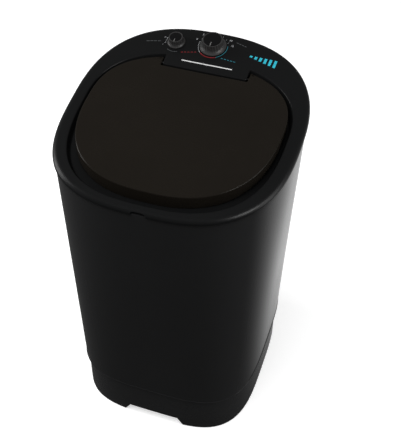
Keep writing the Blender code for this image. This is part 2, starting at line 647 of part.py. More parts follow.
def make_top_frame():
    crest = inset(RIM, SKIRT_INSET)
    wall_foot = inset(LIP, GUTTER_DRAFT)
    lip_above = TUB_LIP_THICKNESS + CABINET_RISE + 2 * GAP
    lip_inner = inset(CABINET_TOP, CABINET_WALL + TUB_UPSTAND_INSET + TUB_WALL + 2 * GAP)
    under_deck = above(deck_height, -FRAME_WALL)
    under_floor = above(gutter_height, -FRAME_WALL)
    loops = skirt_loops() + [
        between(crest, LIP, 0.5, deck_height),
        loop(inset(LIP, -LIP_ROUND), deck_height),
        loop(LIP, above(deck_height, -LIP_ROUND)),
        loop(wall_foot, gutter_height),
        loop(MOUTH, gutter_height),
        loop(MOUTH, above(gutter_height, -DRIP_DROP)),
        loop(inset(MOUTH, -FRAME_WALL), above(gutter_height, -DRIP_DROP)),
        loop(inset(MOUTH, -FRAME_WALL), under_floor),
        loop(inset(wall_foot, -FRAME_WALL), under_floor),
        loop(inset(LIP, -FRAME_WALL), under_deck),
        between(crest, LIP, 0.5, under_deck),
        loop(inset(lip_inner, OVERRUN), under_deck),
        loop(lip_inner, above(rim_height, lip_above)),
        loop(inset(RIM, FRAME_WALL), above(rim_height, lip_above)),
        loop(inset(RIM, FRAME_WALL), rim_height),
    ]
    frame = link("top_frame", loft_mesh("top_frame", loops, ring=True), BLACK_GLOSS)
    add_hinge_block(frame)
    cut_notch(frame)
    for name, x, y in (("cut_timer_hole", TIMER_X, TIMER_Y), ("cut_selector_hole", SELECTOR_X, SELECTOR_Y)):
        mesh = cylinder_mesh(name, CONTROL_HOLE_RADIUS, -2 * OVERRUN, OVERRUN, SMALL_COUNT)
        boolean(frame, cutter(name, mesh, deck_matrix(x, y)))
    for side, x in (("left", -HINGE_BLOCK_HALF_WIDTH), ("right", HINGE_BLOCK_HALF_WIDTH)):
        name = "cut_pin_hole_" + side
        mesh = cylinder_mesh(name, HINGE_PIN_RADIUS + GAP, -2 * OVERRUN, 2 * OVERRUN, SMALL_COUNT)
        boolean(frame, cutter(name, mesh, along((1, 0, 0), (x, HINGE_Y, HINGE_HEIGHT))))
    return frame


def add_hinge_block(frame):
    """The block that carries the deck forward into the lid's cut-out, and holds the hinge pins. It
    is hollow, and open below."""
    back = LIP.centre + LIP.back
    behind = back + LIP_ROUND
    floor = gutter_height(HINGE_BLOCK_FRONT_Y) - FRAME_WALL / 2
    middle = (HINGE_BLOCK_FRONT_Y + behind) / 2
    outer = [
        (HINGE_BLOCK_FRONT_Y, floor),
        (HINGE_BLOCK_FRONT_Y, deck_height(HINGE_BLOCK_FRONT_Y) - HINGE_BLOCK_DROP - LIP_ROUND),
        (HINGE_BLOCK_FRONT_Y + LIP_ROUND, deck_height(HINGE_BLOCK_FRONT_Y) - HINGE_BLOCK_DROP),
        (middle, deck_height(middle) - HINGE_BLOCK_DROP / 2),
        (behind, deck_height(behind) - GAP),
        (behind, deck_height(behind) - FRAME_WALL + GAP),
        (back - GUTTER_DRAFT / 2, gutter_height(back - GUTTER_DRAFT / 2) - FRAME_WALL / 2),
    ]
    half = HINGE_BLOCK_HALF_WIDTH
    boolean(frame, cutter("hinge_block", prism_mesh("hinge_block", outer, -half, half)), "UNION")
    low = gutter_height(HINGE_BLOCK_FRONT_Y) - FRAME_WALL - OVERRUN
    front = HINGE_BLOCK_FRONT_Y + FRAME_WALL
    hollow = [
        (front, low),
        (front, deck_height(front) - FRAME_WALL - HINGE_BLOCK_DROP),
        (middle, deck_height(middle) - FRAME_WALL - HINGE_BLOCK_DROP / 2),
        (behind + 2 * FRAME_WALL, deck_height(behind + 2 * FRAME_WALL) - FRAME_WALL - GAP),
        (behind + 2 * FRAME_WALL, low),
    ]
    half -= FRAME_WALL
    boolean(frame, cutter("cut_hinge_block", prism_mesh("cut_hinge_block", hollow, -half, half)))


def cut_notch(frame):
    """The finger notch at the front of the skirt, with rounded shoulders."""
    front = RIM.centre - RIM.front
    low = rim_height(front) - OVERRUN
    high = rim_height(front) + NOTCH_HEIGHT
    outline = [(-NOTCH_HALF_WIDTH, low), (NOTCH_HALF_WIDTH, low), (NOTCH_HALF_WIDTH, high - NOTCH_ROUND)]
    steps = 4
    for side in (1, -1):
        for i in range(1, steps + 1) if side > 0 else range(steps):
            angle = math.pi / 2 * i / steps if side > 0 else math.pi / 2 * (1 - i / steps)
            x = NOTCH_HALF_WIDTH - NOTCH_ROUND + NOTCH_ROUND * math.cos(angle)
            outline.append((side * x, high - NOTCH_ROUND + NOTCH_ROUND * math.sin(angle)))
    outline.append((-NOTCH_HALF_WIDTH, high - NOTCH_ROUND))
    mesh = prism_mesh("cut_notch", outline, front - OVERRUN, front + NOTCH_DEPTH, "Y")
    boolean(frame, cutter("cut_notch", mesh))


def make_lid():
    """A smoked tray turned over, with a cut-out at the rear and an ear on each side of it. Its
    origin is on the hinge's axis."""
    front = LID.centre - LID.front

    def skirt_foot(y):
        share = (y - front) / (HINGE_Y - front)
        depth = GUTTER_DEPTH - GAP + share * (LID_SKIRT_REAR - GUTTER_DEPTH + GAP)
        return lid_height(y) - depth

    axis = Vector((0.0, HINGE_Y, HINGE_HEIGHT))
    under = above(lid_height, -LID_WALL)
    outer = [
        loop(inset(LID, LID_EDGE_ROUND), lid_height),
        loop(inset(LID, LID_EDGE_ROUND / 3), above(lid_height, -LID_EDGE_ROUND / 3)),
        loop(LID, above(lid_height, -LID_EDGE_ROUND)),
        loop(LID, skirt_foot),
        loop(inset(LID, LID_WALL), skirt_foot),
        loop(inset(LID, LID_WALL), above(under, -LID_WALL / 2)),
        loop(inset(LID, LID_WALL + LID_EDGE_ROUND), under),
    ]
    lid = link("lid", loft_mesh("lid", outer), SMOKED)
    lid.data.transform(Matrix.Translation(-axis))
    lid.location = axis
    half = HINGE_BLOCK_HALF_WIDTH + LID_SIDE_GAP
    cut_front = HINGE_BLOCK_FRONT_Y - LID_SIDE_GAP
    low = lid_height(front) - GUTTER_DEPTH
    wall = box_mesh("lid_inner_wall",
                    (-half - LID_WALL, cut_front - LID_WALL, lid_height(cut_front) - LID_SKIRT_REAR),
                    (half + LID_WALL, cut_front + LID_WALL, lid_height(cut_front) - LID_WALL / 2))
    boolean(lid, cutter("lid_inner_wall", wall), "UNION")
    ear_start = half - OVERRUN
    for side in (-1, 1):
        name = "lid_ear_" + ("left" if side < 0 else "right")
        mesh = cylinder_mesh(name, HINGE_EAR_RADIUS, 0.0, HINGE_EAR_WIDTH + OVERRUN, SMALL_COUNT)
        place = (side * ear_start, HINGE_Y, HINGE_HEIGHT)
        boolean(lid, cutter(name, mesh, along((side, 0, 0), place)), "UNION")
    edge = LID.centre + LID.back
    cut = box_mesh("cut_lid_rear", (-half, cut_front, low),
                   (half, edge + OVERRUN, lid_height(edge) + OVERRUN))
    boolean(lid, cutter("cut_lid_rear", cut))
    for side in (-1, 1):
        name = "cut_ear_bore_" + ("left" if side < 0 else "right")
        bore = cylinder_mesh(name, HINGE_PIN_RADIUS + RUNNING_GAP, 0.0, HINGE_BORE_DEPTH, SMALL_COUNT)
        place = (side * ear_start, HINGE_Y, HINGE_HEIGHT)
        boolean(lid, cutter(name, bore, along((side, 0, 0), place)))
    return lid


def make_hinge_pins():
    radius = HINGE_PIN_RADIUS
    for side, name in ((-1, "hinge_pin_left"), (1, "hinge_pin_right")):
        end = HINGE_BLOCK_HALF_WIDTH + LID_SIDE_GAP + HINGE_BORE_DEPTH - OVERRUN - GAP
        start = end - HINGE_PIN_LENGTH
        profile = [
            (0.0, start),
            (radius - HINGE_PIN_CHAMFER, start),
            (radius, start + HINGE_PIN_CHAMFER),
            (radius, end - HINGE_PIN_CHAMFER),
            (radius - HINGE_PIN_CHAMFER, end),
            (0.0, end),
        ]
        pin = link(name, turned_mesh(name, profile, count=SMALL_COUNT), BARE_STEEL)
        pin.matrix_world = along((side, 0, 0), (0.0, HINGE_Y, HINGE_HEIGHT))


def deck_matrix(x, y, lift=0.0):
    """A frame on the deck, whose Z stands square to the deck's surface."""
    normal = Vector((0.0, -rim_slope(y), 1.0)).normalized()
    place = Vector((x, y, deck_height(y))) + normal * lift
    return along(normal, place)


def knob_mesh(name, top_radius, base_radius, height):
    """A dial knob: a flared collar, a fluted grip above it, and a hollow underside with a bored hub."""
    count = 2 * FLUTES
    collar = height * KNOB_COLLAR_SHARE
    waist = base_radius + (top_radius - base_radius) * (1 - KNOB_WAIST_SHARE)

    def ring(radius, z, flute=0.0):
        points = []
        for i in range(count):
            angle = math.tau * i / count
            r = radius - flute * (i % 2)
            points.append((r * math.cos(angle), r * math.sin(angle), z))
        return points

    hub = CONTROL_SHAFT_RADIUS + GAP + KNOB_HUB_WALL
    bore = CONTROL_SHAFT_RADIUS + GAP
    roof = height - 2 * KNOB_WALL
    loops = [
        ring(top_radius - KNOB_ROUND, height),
        ring(top_radius, height - KNOB_ROUND, FLUTE_DEPTH),
        ring(waist, collar, FLUTE_DEPTH),
        ring((waist + base_radius) / 2, collar / 2),
        ring(base_radius, KNOB_ROUND),
        ring(base_radius, 0.0),
        ring(base_radius - KNOB_WALL, 0.0),
        ring(waist - KNOB_WALL - FLUTE_DEPTH, collar),
        ring(top_radius - KNOB_WALL - FLUTE_DEPTH, roof),
        ring(hub, roof),
        ring(hub, KNOB_ROUND),
        ring(bore, KNOB_ROUND),
        ring(bore, height * KNOB_BORE_SHARE),
    ]
    return loft_mesh(name, loops)


def make_control(prefix, body_name, x, y, top_radius, base_radius, height, half_side, depth):
    """A knob with its pointer, the shaft under it, and the switch body below the deck."""
    knob_name = prefix + "_knob"
    shaft_name = prefix + "_shaft"
    axis = axis_empty(prefix + "_axis", deck_matrix(x, y))
    knob = link(knob_name, knob_mesh(knob_name, top_radius, base_radius, height), KNOB_GREY, axis)
    knob.location = (0.0, 0.0, KNOB_LIFT)
    start, end = [share * top_radius for share in POINTER_SHARES]
    pointer = box_mesh(prefix + "_pointer",
                       (-POINTER_WIDTH / 2, -end, height - KNOB_WALL),
                       (POINTER_WIDTH / 2, -start, height + POINTER_HEIGHT))
    boolean(knob, cutter(prefix + "_pointer", pointer, deck_matrix(x, y, KNOB_LIFT)), "UNION")
    top = KNOB_LIFT + height * KNOB_BORE_SHARE - GAP
    bottom = -FRAME_WALL - KNOB_WALL
    shaft_mesh = cylinder_mesh(shaft_name, CONTROL_SHAFT_RADIUS, bottom, top, SMALL_COUNT)
    link(shaft_name, shaft_mesh, BARE_STEEL, axis)
    high = -FRAME_WALL - 2 * GAP
    body = link(body_name, box_mesh(body_name, (-half_side, -half_side, high - depth),
                                    (half_side, half_side, high)), PALE_PLASTIC)
    body.matrix_world = deck_matrix(x, y)
    bevel = body.modifiers.new("edges", "BEVEL")
    bevel.width = KNOB_ROUND
    bevel.segments = 2
    name = "cut_" + prefix + "_socket"
    socket_radius = CONTROL_SHAFT_RADIUS + RUNNING_GAP
    socket = cylinder_mesh(name, socket_radius, bottom - RUNNING_GAP, OVERRUN, SMALL_COUNT)
    boolean(body, cutter(name, socket, deck_matrix(x, y)))


def tub_section(wall):
    """Loops down one face of the tub, from its mouth to its bore. The wall is zero for the inner
    face, and the outer face lies that far outside and below it."""
    floor = TUB_FLOOR_HEIGHT - wall
    steps = 4
    loops = [loop(inset(TUB_SHOULDER, -wall), TUB_SHOULDER_HEIGHT - wall)]
    for i in range(steps + 1):
        angle = math.pi / 2 * i / steps
        oval = inset(TUB_BOTTOM, TUB_FLOOR_ROUND * (1 - math.cos(angle)) - wall * math.cos(angle))
        loops.append(loop(oval, TUB_FLOOR_HEIGHT + TUB_FLOOR_ROUND
                          - (TUB_FLOOR_ROUND + wall) * math.sin(angle)))
    seat = floor - TUB_FLOOR_FALL
    loops.append(circle_loop(HOUSING_FLANGE_RADIUS + HOUSING_WALL, seat))
    loops.append(circle_loop(TUB_BORE_RADIUS, seat))
    return loops


def circle_loop(radius, height):
    return loop(Oval(radius, radius, radius, 2.0, 2.0, TUB_CENTRE_Y), height)


def make_tub():
    lip_low = above(rim_height, CABINET_RISE + GAP)
    lip_high = above(rim_height, CABINET_RISE + GAP + TUB_LIP_THICKNESS)
    deck = above(lid_height, -TUB_DECK_DROP)
    under = above(lid_height, -TUB_DECK_DROP - TUB_WALL)
    outer_face = inset(CABINET_TOP, CABINET_WALL + TUB_UPSTAND_INSET)
    foot = inset(outer_face, TUB_UPSTAND_DRAFT)
    loops = [
        loop(inset(CABINET_TOP, GAP), lip_high),
        loop(inset(outer_face, TUB_WALL), lip_high),
        loop(inset(foot, TUB_WALL), deck),
        loop(TUB_MOUTH, deck),
    ]
    loops += tub_section(0.0)
    loops += tub_section(TUB_WALL)[::-1]
    loops += [
        loop(inset(TUB_MOUTH, -TUB_WALL), under),
        loop(foot, under),
        loop(outer_face, lip_low),
        loop(inset(CABINET_TOP, GAP), lip_low),
    ]
    tub = link("tub", loft_mesh("tub", loops, ring=True), TUB_GREY)
    x, y = drain_hole()
    mesh = cylinder_mesh("cut_tub_drain", DRAIN_RADIUS - DRAIN_WALL, TUB_FLOOR_HEIGHT - TUB_FLOOR_ROUND,
                         TUB_FLOOR_HEIGHT + TUB_FLOOR_ROUND, SMALL_COUNT)
    boolean(tub, cutter("cut_tub_drain", mesh, Matrix.Translation((x, y, 0.0))))
    return tub


def drain_hole():
    return (-TUB_HOLE_SHARES[0] * TUB_BOTTOM_HALF_WIDTH,
            TUB_CENTRE_Y + TUB_HOLE_SHARES[1] * TUB_BOTTOM_REACH)


def make_pulsator():
    """A disc whose top rises to a domed hub, with rounded vanes from the hub to the rim."""
    count = 12 * PULSATOR_VANES
    rings = 9
    top = []
    cap_seat = PULSATOR_CAP_RADIUS + GAP
    for j in range(rings + 1):
        share = j / rings
        radius = PULSATOR_RADIUS + share * (cap_seat - PULSATOR_RADIUS)
        top.append(pulsator_ring(radius, count))
    hub_top = PULSATOR_RIM_THICKNESS + PULSATOR_HUB_HEIGHT
    seat = hub_top - PULSATOR_CAP_HEIGHT
    bore = SHAFT_RADIUS + GAP

    def ring(radius, z):
        return [(radius * math.cos(math.tau * i / count), radius * math.sin(math.tau * i / count), z)
                for i in range(count)]

    loops = [ring(PULSATOR_RADIUS, 0.0)] + top + [ring(cap_seat, seat)]
    under = [ring(bore, SHAFT_TOP_ENGAGEMENT + GAP), ring(bore, 0.0)]
    bm = bmesh.new()
    rows = [[bm.verts.new(p) for p in row] for row in under + loops]
    for low, high in zip(rows, rows[1:]):
        for i in range(count):
            j = (i + 1) % count
            bm.faces.new((low[i], low[j], high[j], high[i]))
    bm.faces.new(rows[0])
    bm.faces.new(rows[-1])
    pulsator = link("pulsator", finished(bm, "pulsator"), TUB_GREY)
    pulsator.location = PULSATOR_AXIS + Vector((0.0, 0.0, PULSATOR_BOTTOM))
    head = PULSATOR_CAP_RADIUS
    profile = [
        (0.0, seat + GAP),
        (head, seat + GAP),
        (head, hub_top),
        (PULSATOR_CAP_FLAT, hub_top + PULSATOR_CAP_HEIGHT / 2),
        (0.0, hub_top + PULSATOR_CAP_CROWN),
    ]
    cap = link("pulsator_cap", turned_mesh("pulsator_cap", profile), DARK_GREY)
    cap.location = pulsator.location


def pulsator_ring(radius, count):
    """One ring of the pulsator's top: a dome over the hub, and vanes that swell and fade out."""
    past_hub = max(0.0, radius - PULSATOR_VANE_START) / (PULSATOR_RADIUS - PULSATOR_VANE_START)
    dome = PULSATOR_HUB_HEIGHT * math.exp(-((radius / PULSATOR_HUB_RADIUS) ** 2)) if radius else 0.0
    if radius <= PULSATOR_CAP_RADIUS + 2 * GAP:
        dome = PULSATOR_HUB_HEIGHT
    swell = math.sin(math.pi * min(1.0, past_hub * PULSATOR_VANE_END_SHARE)) ** 0.5 if past_hub else 0.0
    points = []
    for i in range(count):
        angle = math.tau * i / count
        wave = max(0.0, math.cos(PULSATOR_VANES * angle)) ** 3
        z = PULSATOR_RIM_THICKNESS + dome + PULSATOR_VANE_HEIGHT * swell * wave
        if radius <= PULSATOR_CAP_RADIUS + 2 * GAP:
            z = PULSATOR_RIM_THICKNESS + PULSATOR_HUB_HEIGHT
        points.append((radius * math.cos(angle), radius * math.sin(angle), z))
    return points


def make_shaft_group():
    shaft_low = PULLEY_BOTTOM - HOUSING_STEP
    mesh = cylinder_mesh("pulsator_shaft", SHAFT_RADIUS, shaft_low, SHAFT_TOP)
    link("pulsator_shaft", mesh, BARE_STEEL).location = PULSATOR_AXIS
    bore = BEARING_OUTER_RADIUS + GAP
    ledge = bore - HOUSING_STEP
    top_seat = HOUSING_TOP - SEAL_HEIGHT - BEARING_HEIGHT - 2 * GAP
    low_seat = HOUSING_BOTTOM + BEARING_HEIGHT + GAP
    profile = [
        (bore, HOUSING_TOP),
        (HOUSING_FLANGE_RADIUS, HOUSING_TOP),
        (HOUSING_FLANGE_RADIUS, HOUSING_TOP - HOUSING_FLANGE_THICKNESS),
        (HOUSING_RADIUS + HOUSING_WALL, HOUSING_TOP - HOUSING_FLANGE_THICKNESS),
        (HOUSING_RADIUS, HOUSING_TOP - HOUSING_FLANGE_THICKNESS - HOUSING_WALL),
        (HOUSING_RADIUS, HOUSING_BOTTOM),
        (bore, HOUSING_BOTTOM),
        (bore, low_seat),
        (ledge, low_seat),
        (ledge, top_seat),
        (bore, top_seat),
    ]
    housing = link("bearing_housing", turned_mesh("bearing_housing", profile, ring=True), CAST_METAL)
    housing.location = PULSATOR_AXIS
    inner = SHAFT_RADIUS + BEARING_INNER_GAP
    rings = (
        ("upper_bearing", top_seat + GAP, top_seat + GAP + BEARING_HEIGHT, BARE_STEEL),
        ("lower_bearing", low_seat - GAP - BEARING_HEIGHT, low_seat - GAP, BARE_STEEL),
        ("shaft_seal", HOUSING_TOP - SEAL_HEIGHT, HOUSING_TOP, RUBBER_BLACK),
    )
    for name, low, high, look in rings:
        profile = [(inner, low), (BEARING_OUTER_RADIUS, low), (BEARING_OUTER_RADIUS, high), (inner, high)]
        link(name, turned_mesh(name, profile, ring=True), look).location = PULSATOR_AXIS


def groove(radius, low, high):
    """Points down a pulley's rim, from its top edge through its V groove to its bottom edge."""
    middle = (low + high) / 2
    top_half = BELT_TOP_WIDTH / 2 + BELT_CLEARANCE
    bottom_half = BELT_BOTTOM_WIDTH / 2 + BELT_CLEARANCE
    return [
        (radius, high),
        (radius, middle + top_half),
        (radius - PULLEY_GROOVE, middle + bottom_half),
        (radius - PULLEY_GROOVE, middle - bottom_half),
        (radius, middle - top_half),
        (radius, low),
    ]


def make_pulleys():
    half_web = PULLEY_WEB / 2
    inner = PULLEY_RADIUS - PULLEY_RIM
    bore = SHAFT_RADIUS + GAP
    profile = groove(PULLEY_RADIUS, PULLEY_BOTTOM, PULLEY_TOP) + [
        (inner, PULLEY_BOTTOM),
        (inner, PULLEY_MIDDLE - half_web),
        (PULLEY_HUB_RADIUS, PULLEY_MIDDLE - half_web),
        (PULLEY_HUB_RADIUS, PULLEY_BOTTOM),
        (bore, PULLEY_BOTTOM),
        (bore, PULLEY_TOP),
        (PULLEY_HUB_RADIUS, PULLEY_TOP),
        (PULLEY_HUB_RADIUS, PULLEY_MIDDLE + half_web),
        (inner, PULLEY_MIDDLE + half_web),
        (inner, PULLEY_TOP),
    ]
    pulley = link("drive_pulley", turned_mesh("drive_pulley", profile, ring=True, count=36), CAST_METAL)
    pulley.location = PULSATOR_AXIS
    reach = (inner + PULLEY_HUB_RADIUS) / 2
    for i in range(PULLEY_HOLES):
        angle = math.tau * i / PULLEY_HOLES
        name = "cut_pulley_%d" % i
        low, high = PULLEY_BOTTOM - OVERRUN, PULLEY_TOP + OVERRUN
        mesh = cylinder_mesh(name, PULLEY_HOLE_RADIUS, low, high, SMALL_COUNT)
        place = PULSATOR_AXIS + Vector((reach * math.cos(angle), reach * math.sin(angle), 0.0))
        boolean(pulley, cutter(name, mesh, Matrix.Translation(place)))
    bore = MOTOR_SHAFT_RADIUS + GAP
    profile = groove(MOTOR_PULLEY_RADIUS, PULLEY_BOTTOM, PULLEY_TOP)
    profile += [(bore, PULLEY_BOTTOM), (bore, PULLEY_TOP)]
    small = link("motor_pulley", turned_mesh("motor_pulley", profile, ring=True), CAST_METAL)
    small.location = MOTOR_AXIS


def make_belt():
    """An open V belt round both pulleys, standing clear of their grooves by the belt's clearance."""
    big = PULLEY_RADIUS - PULLEY_GROOVE + BELT_CLEARANCE
    small = MOTOR_PULLEY_RADIUS - PULLEY_GROOVE + BELT_CLEARANCE
    lean = math.asin((big - small) / MOTOR_SET_BACK)
    stations = []
    steps = 24
    first, last = math.pi - lean, math.tau + lean
    for i in range(steps + 1):
        stations.append((PULSATOR_AXIS, big, first + (last - first) * i / steps))
    first, last = lean, math.pi - lean
    steps = 12
    for i in range(steps + 1):
        stations.append((MOTOR_AXIS, small, first + (last - first) * i / steps))
    loops = []
    for centre, radius, angle in stations:
        loops.append([
            belt_point(centre, radius, angle, -BELT_BOTTOM_WIDTH / 2),
            belt_point(centre, radius, angle, BELT_BOTTOM_WIDTH / 2),
            belt_point(centre, radius + BELT_THICKNESS, angle, BELT_TOP_WIDTH / 2),
            belt_point(centre, radius + BELT_THICKNESS, angle, -BELT_TOP_WIDTH / 2),
        ])
    link("drive_belt", loft_mesh("drive_belt", loops, ring=True), RUBBER_BLACK)


def belt_point(centre, radius, angle, lift):
    return (centre.x + radius * math.cos(angle), centre.y + radius * math.sin(angle), PULLEY_MIDDLE + lift)


def make_motor():
    shaft_low = MOTOR_BOTTOM + MOTOR_BOSS_HEIGHT
    mesh = cylinder_mesh("motor_shaft", MOTOR_SHAFT_RADIUS, shaft_low, PULLEY_TOP + HOUSING_STEP)
    link("motor_shaft", mesh, BARE_STEEL).location = MOTOR_AXIS
    bore = MOTOR_SHAFT_RADIUS + RUNNING_GAP
    low_shoulder = MOTOR_BOTTOM + MOTOR_BELL_HEIGHT
    high_shoulder = MOTOR_TOP - MOTOR_BOSS_HEIGHT - MOTOR_BELL_HEIGHT
    profile = [
        (0.0, MOTOR_BOTTOM),
        (MOTOR_BELL_RADIUS, MOTOR_BOTTOM),
        (MOTOR_RADIUS - KNOB_WALL, low_shoulder - KNOB_WALL),
        (MOTOR_RADIUS, low_shoulder),
        (MOTOR_RADIUS, high_shoulder),
        (MOTOR_RADIUS - KNOB_WALL, high_shoulder + KNOB_WALL),
        (MOTOR_BELL_RADIUS, MOTOR_TOP - MOTOR_BOSS_HEIGHT),
        (MOTOR_BOSS_RADIUS, MOTOR_TOP - MOTOR_BOSS_HEIGHT),
        (MOTOR_BOSS_RADIUS, MOTOR_TOP),
        (bore, MOTOR_TOP),
        (bore, shaft_low - RUNNING_GAP),
        (0.0, shaft_low - RUNNING_GAP),
    ]
    link("motor_body", turned_mesh("motor_body", profile), MOTOR_PAINT).location = MOTOR_AXIS
    make_bracket()
    make_capacitor()


def make_bracket():
    """The motor's plate, with a flange turned down on two sides, on four rubber bushes."""
    half = BRACKET_HALF_SIDE
    low, high = BRACKET_BOTTOM, BRACKET_BOTTOM + BRACKET_THICKNESS
    rise = high + BRACKET_FLANGE
    outline = [(-half, low), (half, low), (half, rise), (half - BRACKET_THICKNESS, rise),
               (half - BRACKET_THICKNESS, high), (-half + BRACKET_THICKNESS, high),
               (-half + BRACKET_THICKNESS, rise), (-half, rise)]
    mesh = prism_mesh("motor_bracket", outline, -half, half, "Y")
    bracket = link("motor_bracket", mesh, BARE_STEEL)
    bracket.location = MOTOR_AXIS
    hole = cylinder_mesh("cut_bracket", BRACKET_HOLE_RADIUS, low - OVERRUN, high + OVERRUN)
    boolean(bracket, cutter("cut_bracket", hole, Matrix.Translation(MOTOR_AXIS)))
    reach = half - BUSH_INSET
    for side, x in (("left", -reach), ("right", reach)):
        for depth, y in (("front", -reach), ("rear", reach)):
            name = "motor_bush_" + depth + "_" + side
            low_end, high_end = PLINTH_DECK_HEIGHT + GAP, BRACKET_BOTTOM - GAP
            mesh = cylinder_mesh(name, BUSH_RADIUS, low_end, high_end, SMALL_COUNT)
            link(name, mesh, RUBBER_BLACK).location = MOTOR_AXIS + Vector((x, y, 0.0))


def make_capacitor():
    low = PLINTH_DECK_HEIGHT + GAP + CLIP_FLOOR + GAP
    high = low + CAPACITOR_HEIGHT
    place = Vector((CAPACITOR_X, CAPACITOR_Y, 0.0))
    radius = CAPACITOR_RADIUS
    profile = [
        (0.0, low),
        (radius, low),
        (radius, high - KNOB_ROUND),
        (radius - KNOB_ROUND, high),
        (0.0, high),
    ]
    can = link("capacitor", turned_mesh("capacitor", profile, count=SMALL_COUNT), PALE_PLASTIC)
    can.location = place
    base = PLINTH_DECK_HEIGHT + GAP
    inner = radius + GAP
    outer = inner + CLIP_WALL
    profile = [
        (0.0, base),
        (outer + 2 * CLIP_WALL, base),
        (outer + 2 * CLIP_WALL, base + CLIP_FLOOR),
        (outer, base + CLIP_FLOOR),
        (outer, base + CLIP_HEIGHT),
        (inner, base + CLIP_HEIGHT),
        (inner, base + CLIP_FLOOR),
        (0.0, base + CLIP_FLOOR),
    ]
    clip = link("capacitor_clip", turned_mesh("capacitor_clip", profile, count=SMALL_COUNT), DARK_GREY)
    clip.location = place


def make_filter():
    """The lint filter: a slotted frame that slides up out of a holder on the tub's rear wall."""
    half = FILTER_HALF_WIDTH + RUNNING_GAP + HOLDER_WALL
    back = wall_at(tub_back(FILTER_BOTTOM - HOLDER_WALL - RUNNING_GAP), half) - GAP
    pocket_back = back - HOLDER_WALL
    pocket_front = pocket_back - FILTER_THICKNESS - 2 * RUNNING_GAP
    front = pocket_front - HOLDER_WALL
    low = FILTER_BOTTOM - HOLDER_WALL - RUNNING_GAP
    holder_mesh = box_mesh("filter_holder", (-half, front, low), (half, back, low + HOLDER_HEIGHT))
    holder = link("filter_holder", holder_mesh, TUB_GREY)
    pocket = box_mesh("cut_filter_pocket",
                      (-FILTER_HALF_WIDTH - RUNNING_GAP, pocket_front, FILTER_BOTTOM - RUNNING_GAP),
                      (FILTER_HALF_WIDTH + RUNNING_GAP, pocket_back, low + HOLDER_HEIGHT + OVERRUN))
    boolean(holder, cutter("cut_filter_pocket", pocket))
    window = box_mesh("cut_filter_window",
                      (-FILTER_HALF_WIDTH + HOLDER_LIP, front - OVERRUN, low + HOLDER_LIP + HOLDER_WALL),
                      (FILTER_HALF_WIDTH - HOLDER_LIP, pocket_front + FILTER_THICKNESS,
                       low + HOLDER_HEIGHT + OVERRUN))
    boolean(holder, cutter("cut_filter_window", window))
    start = pocket_front + RUNNING_GAP
    top = FILTER_BOTTOM + FILTER_HEIGHT
    mesh = box_mesh("lint_filter", (-FILTER_HALF_WIDTH, start, FILTER_BOTTOM),
                    (FILTER_HALF_WIDTH, start + FILTER_THICKNESS, top))
    lint = link("lint_filter", mesh, PALE_PLASTIC)
    span = 2 * (FILTER_HALF_WIDTH - FILTER_FRAME)
    pitch = span / (FILTER_BARS + 1)
    for i in range(FILTER_BARS + 1):
        x = -span / 2 + i * pitch
        name = "cut_filter_slot_%d" % i
        slot = box_mesh(name, (x + FILTER_BAR_WIDTH / 2, start - OVERRUN, FILTER_BOTTOM + FILTER_FRAME),
                        (x + pitch - FILTER_BAR_WIDTH / 2, start + FILTER_THICKNESS + OVERRUN,
                         top - FILTER_FRAME - FILTER_GRIP_HEIGHT))
        boolean(lint, cutter(name, slot))
    return holder


def make_rear_cover():
    """The service cover, a plate that follows the cabinet's rear wall and is laid against it."""
    loops = []
    for height, lift in ((COVER_BOTTOM, GAP), (COVER_BOTTOM, GAP + COVER_THICKNESS),
                         (COVER_TOP, GAP + COVER_THICKNESS), (COVER_TOP, GAP)):
        corners = [point for point in cabinet_back(height) if abs(point[0]) < COVER_HALF_WIDTH]
        edge = wall_at(cabinet_back(height), COVER_HALF_WIDTH)
        row = [(-COVER_HALF_WIDTH, edge)] + corners + [(COVER_HALF_WIDTH, edge)]
        loops.append([(x, y + lift, height) for x, y in row])
    mesh = loft_mesh("service_cover", list(zip(*loops)))
    link("service_cover", mesh, BLACK_SATIN)


def make_rear_fittings():
    wall = wall_at(cabinet_back(GLAND_HEIGHT), GLAND_X)
    flange = GLAND_RADIUS
    profile = [
        (GLAND_BORE_RADIUS, -CABINET_WALL - GAP - GLAND_LENGTH / 4),
        (GLAND_HOLE_RADIUS, -CABINET_WALL - GAP - GLAND_LENGTH / 4),
        (GLAND_HOLE_RADIUS, 2 * CABINET_WALL),
        (flange, 2 * CABINET_WALL),
        (flange, 2 * CABINET_WALL + GLAND_LENGTH / 4),
        (GLAND_BORE_RADIUS + GLAND_HOLE_RADIUS / 4, 2 * CABINET_WALL + GLAND_LENGTH),
        (GLAND_BORE_RADIUS, 2 * CABINET_WALL + GLAND_LENGTH),
    ]
    mesh = turned_mesh("cord_gland", profile, ring=True, count=SMALL_COUNT)
    gland = link("cord_gland", mesh, RUBBER_BLACK)
    gland.matrix_world = along((0, 1, 0), (GLAND_X, wall - CABINET_WALL, GLAND_HEIGHT))
    make_drain()


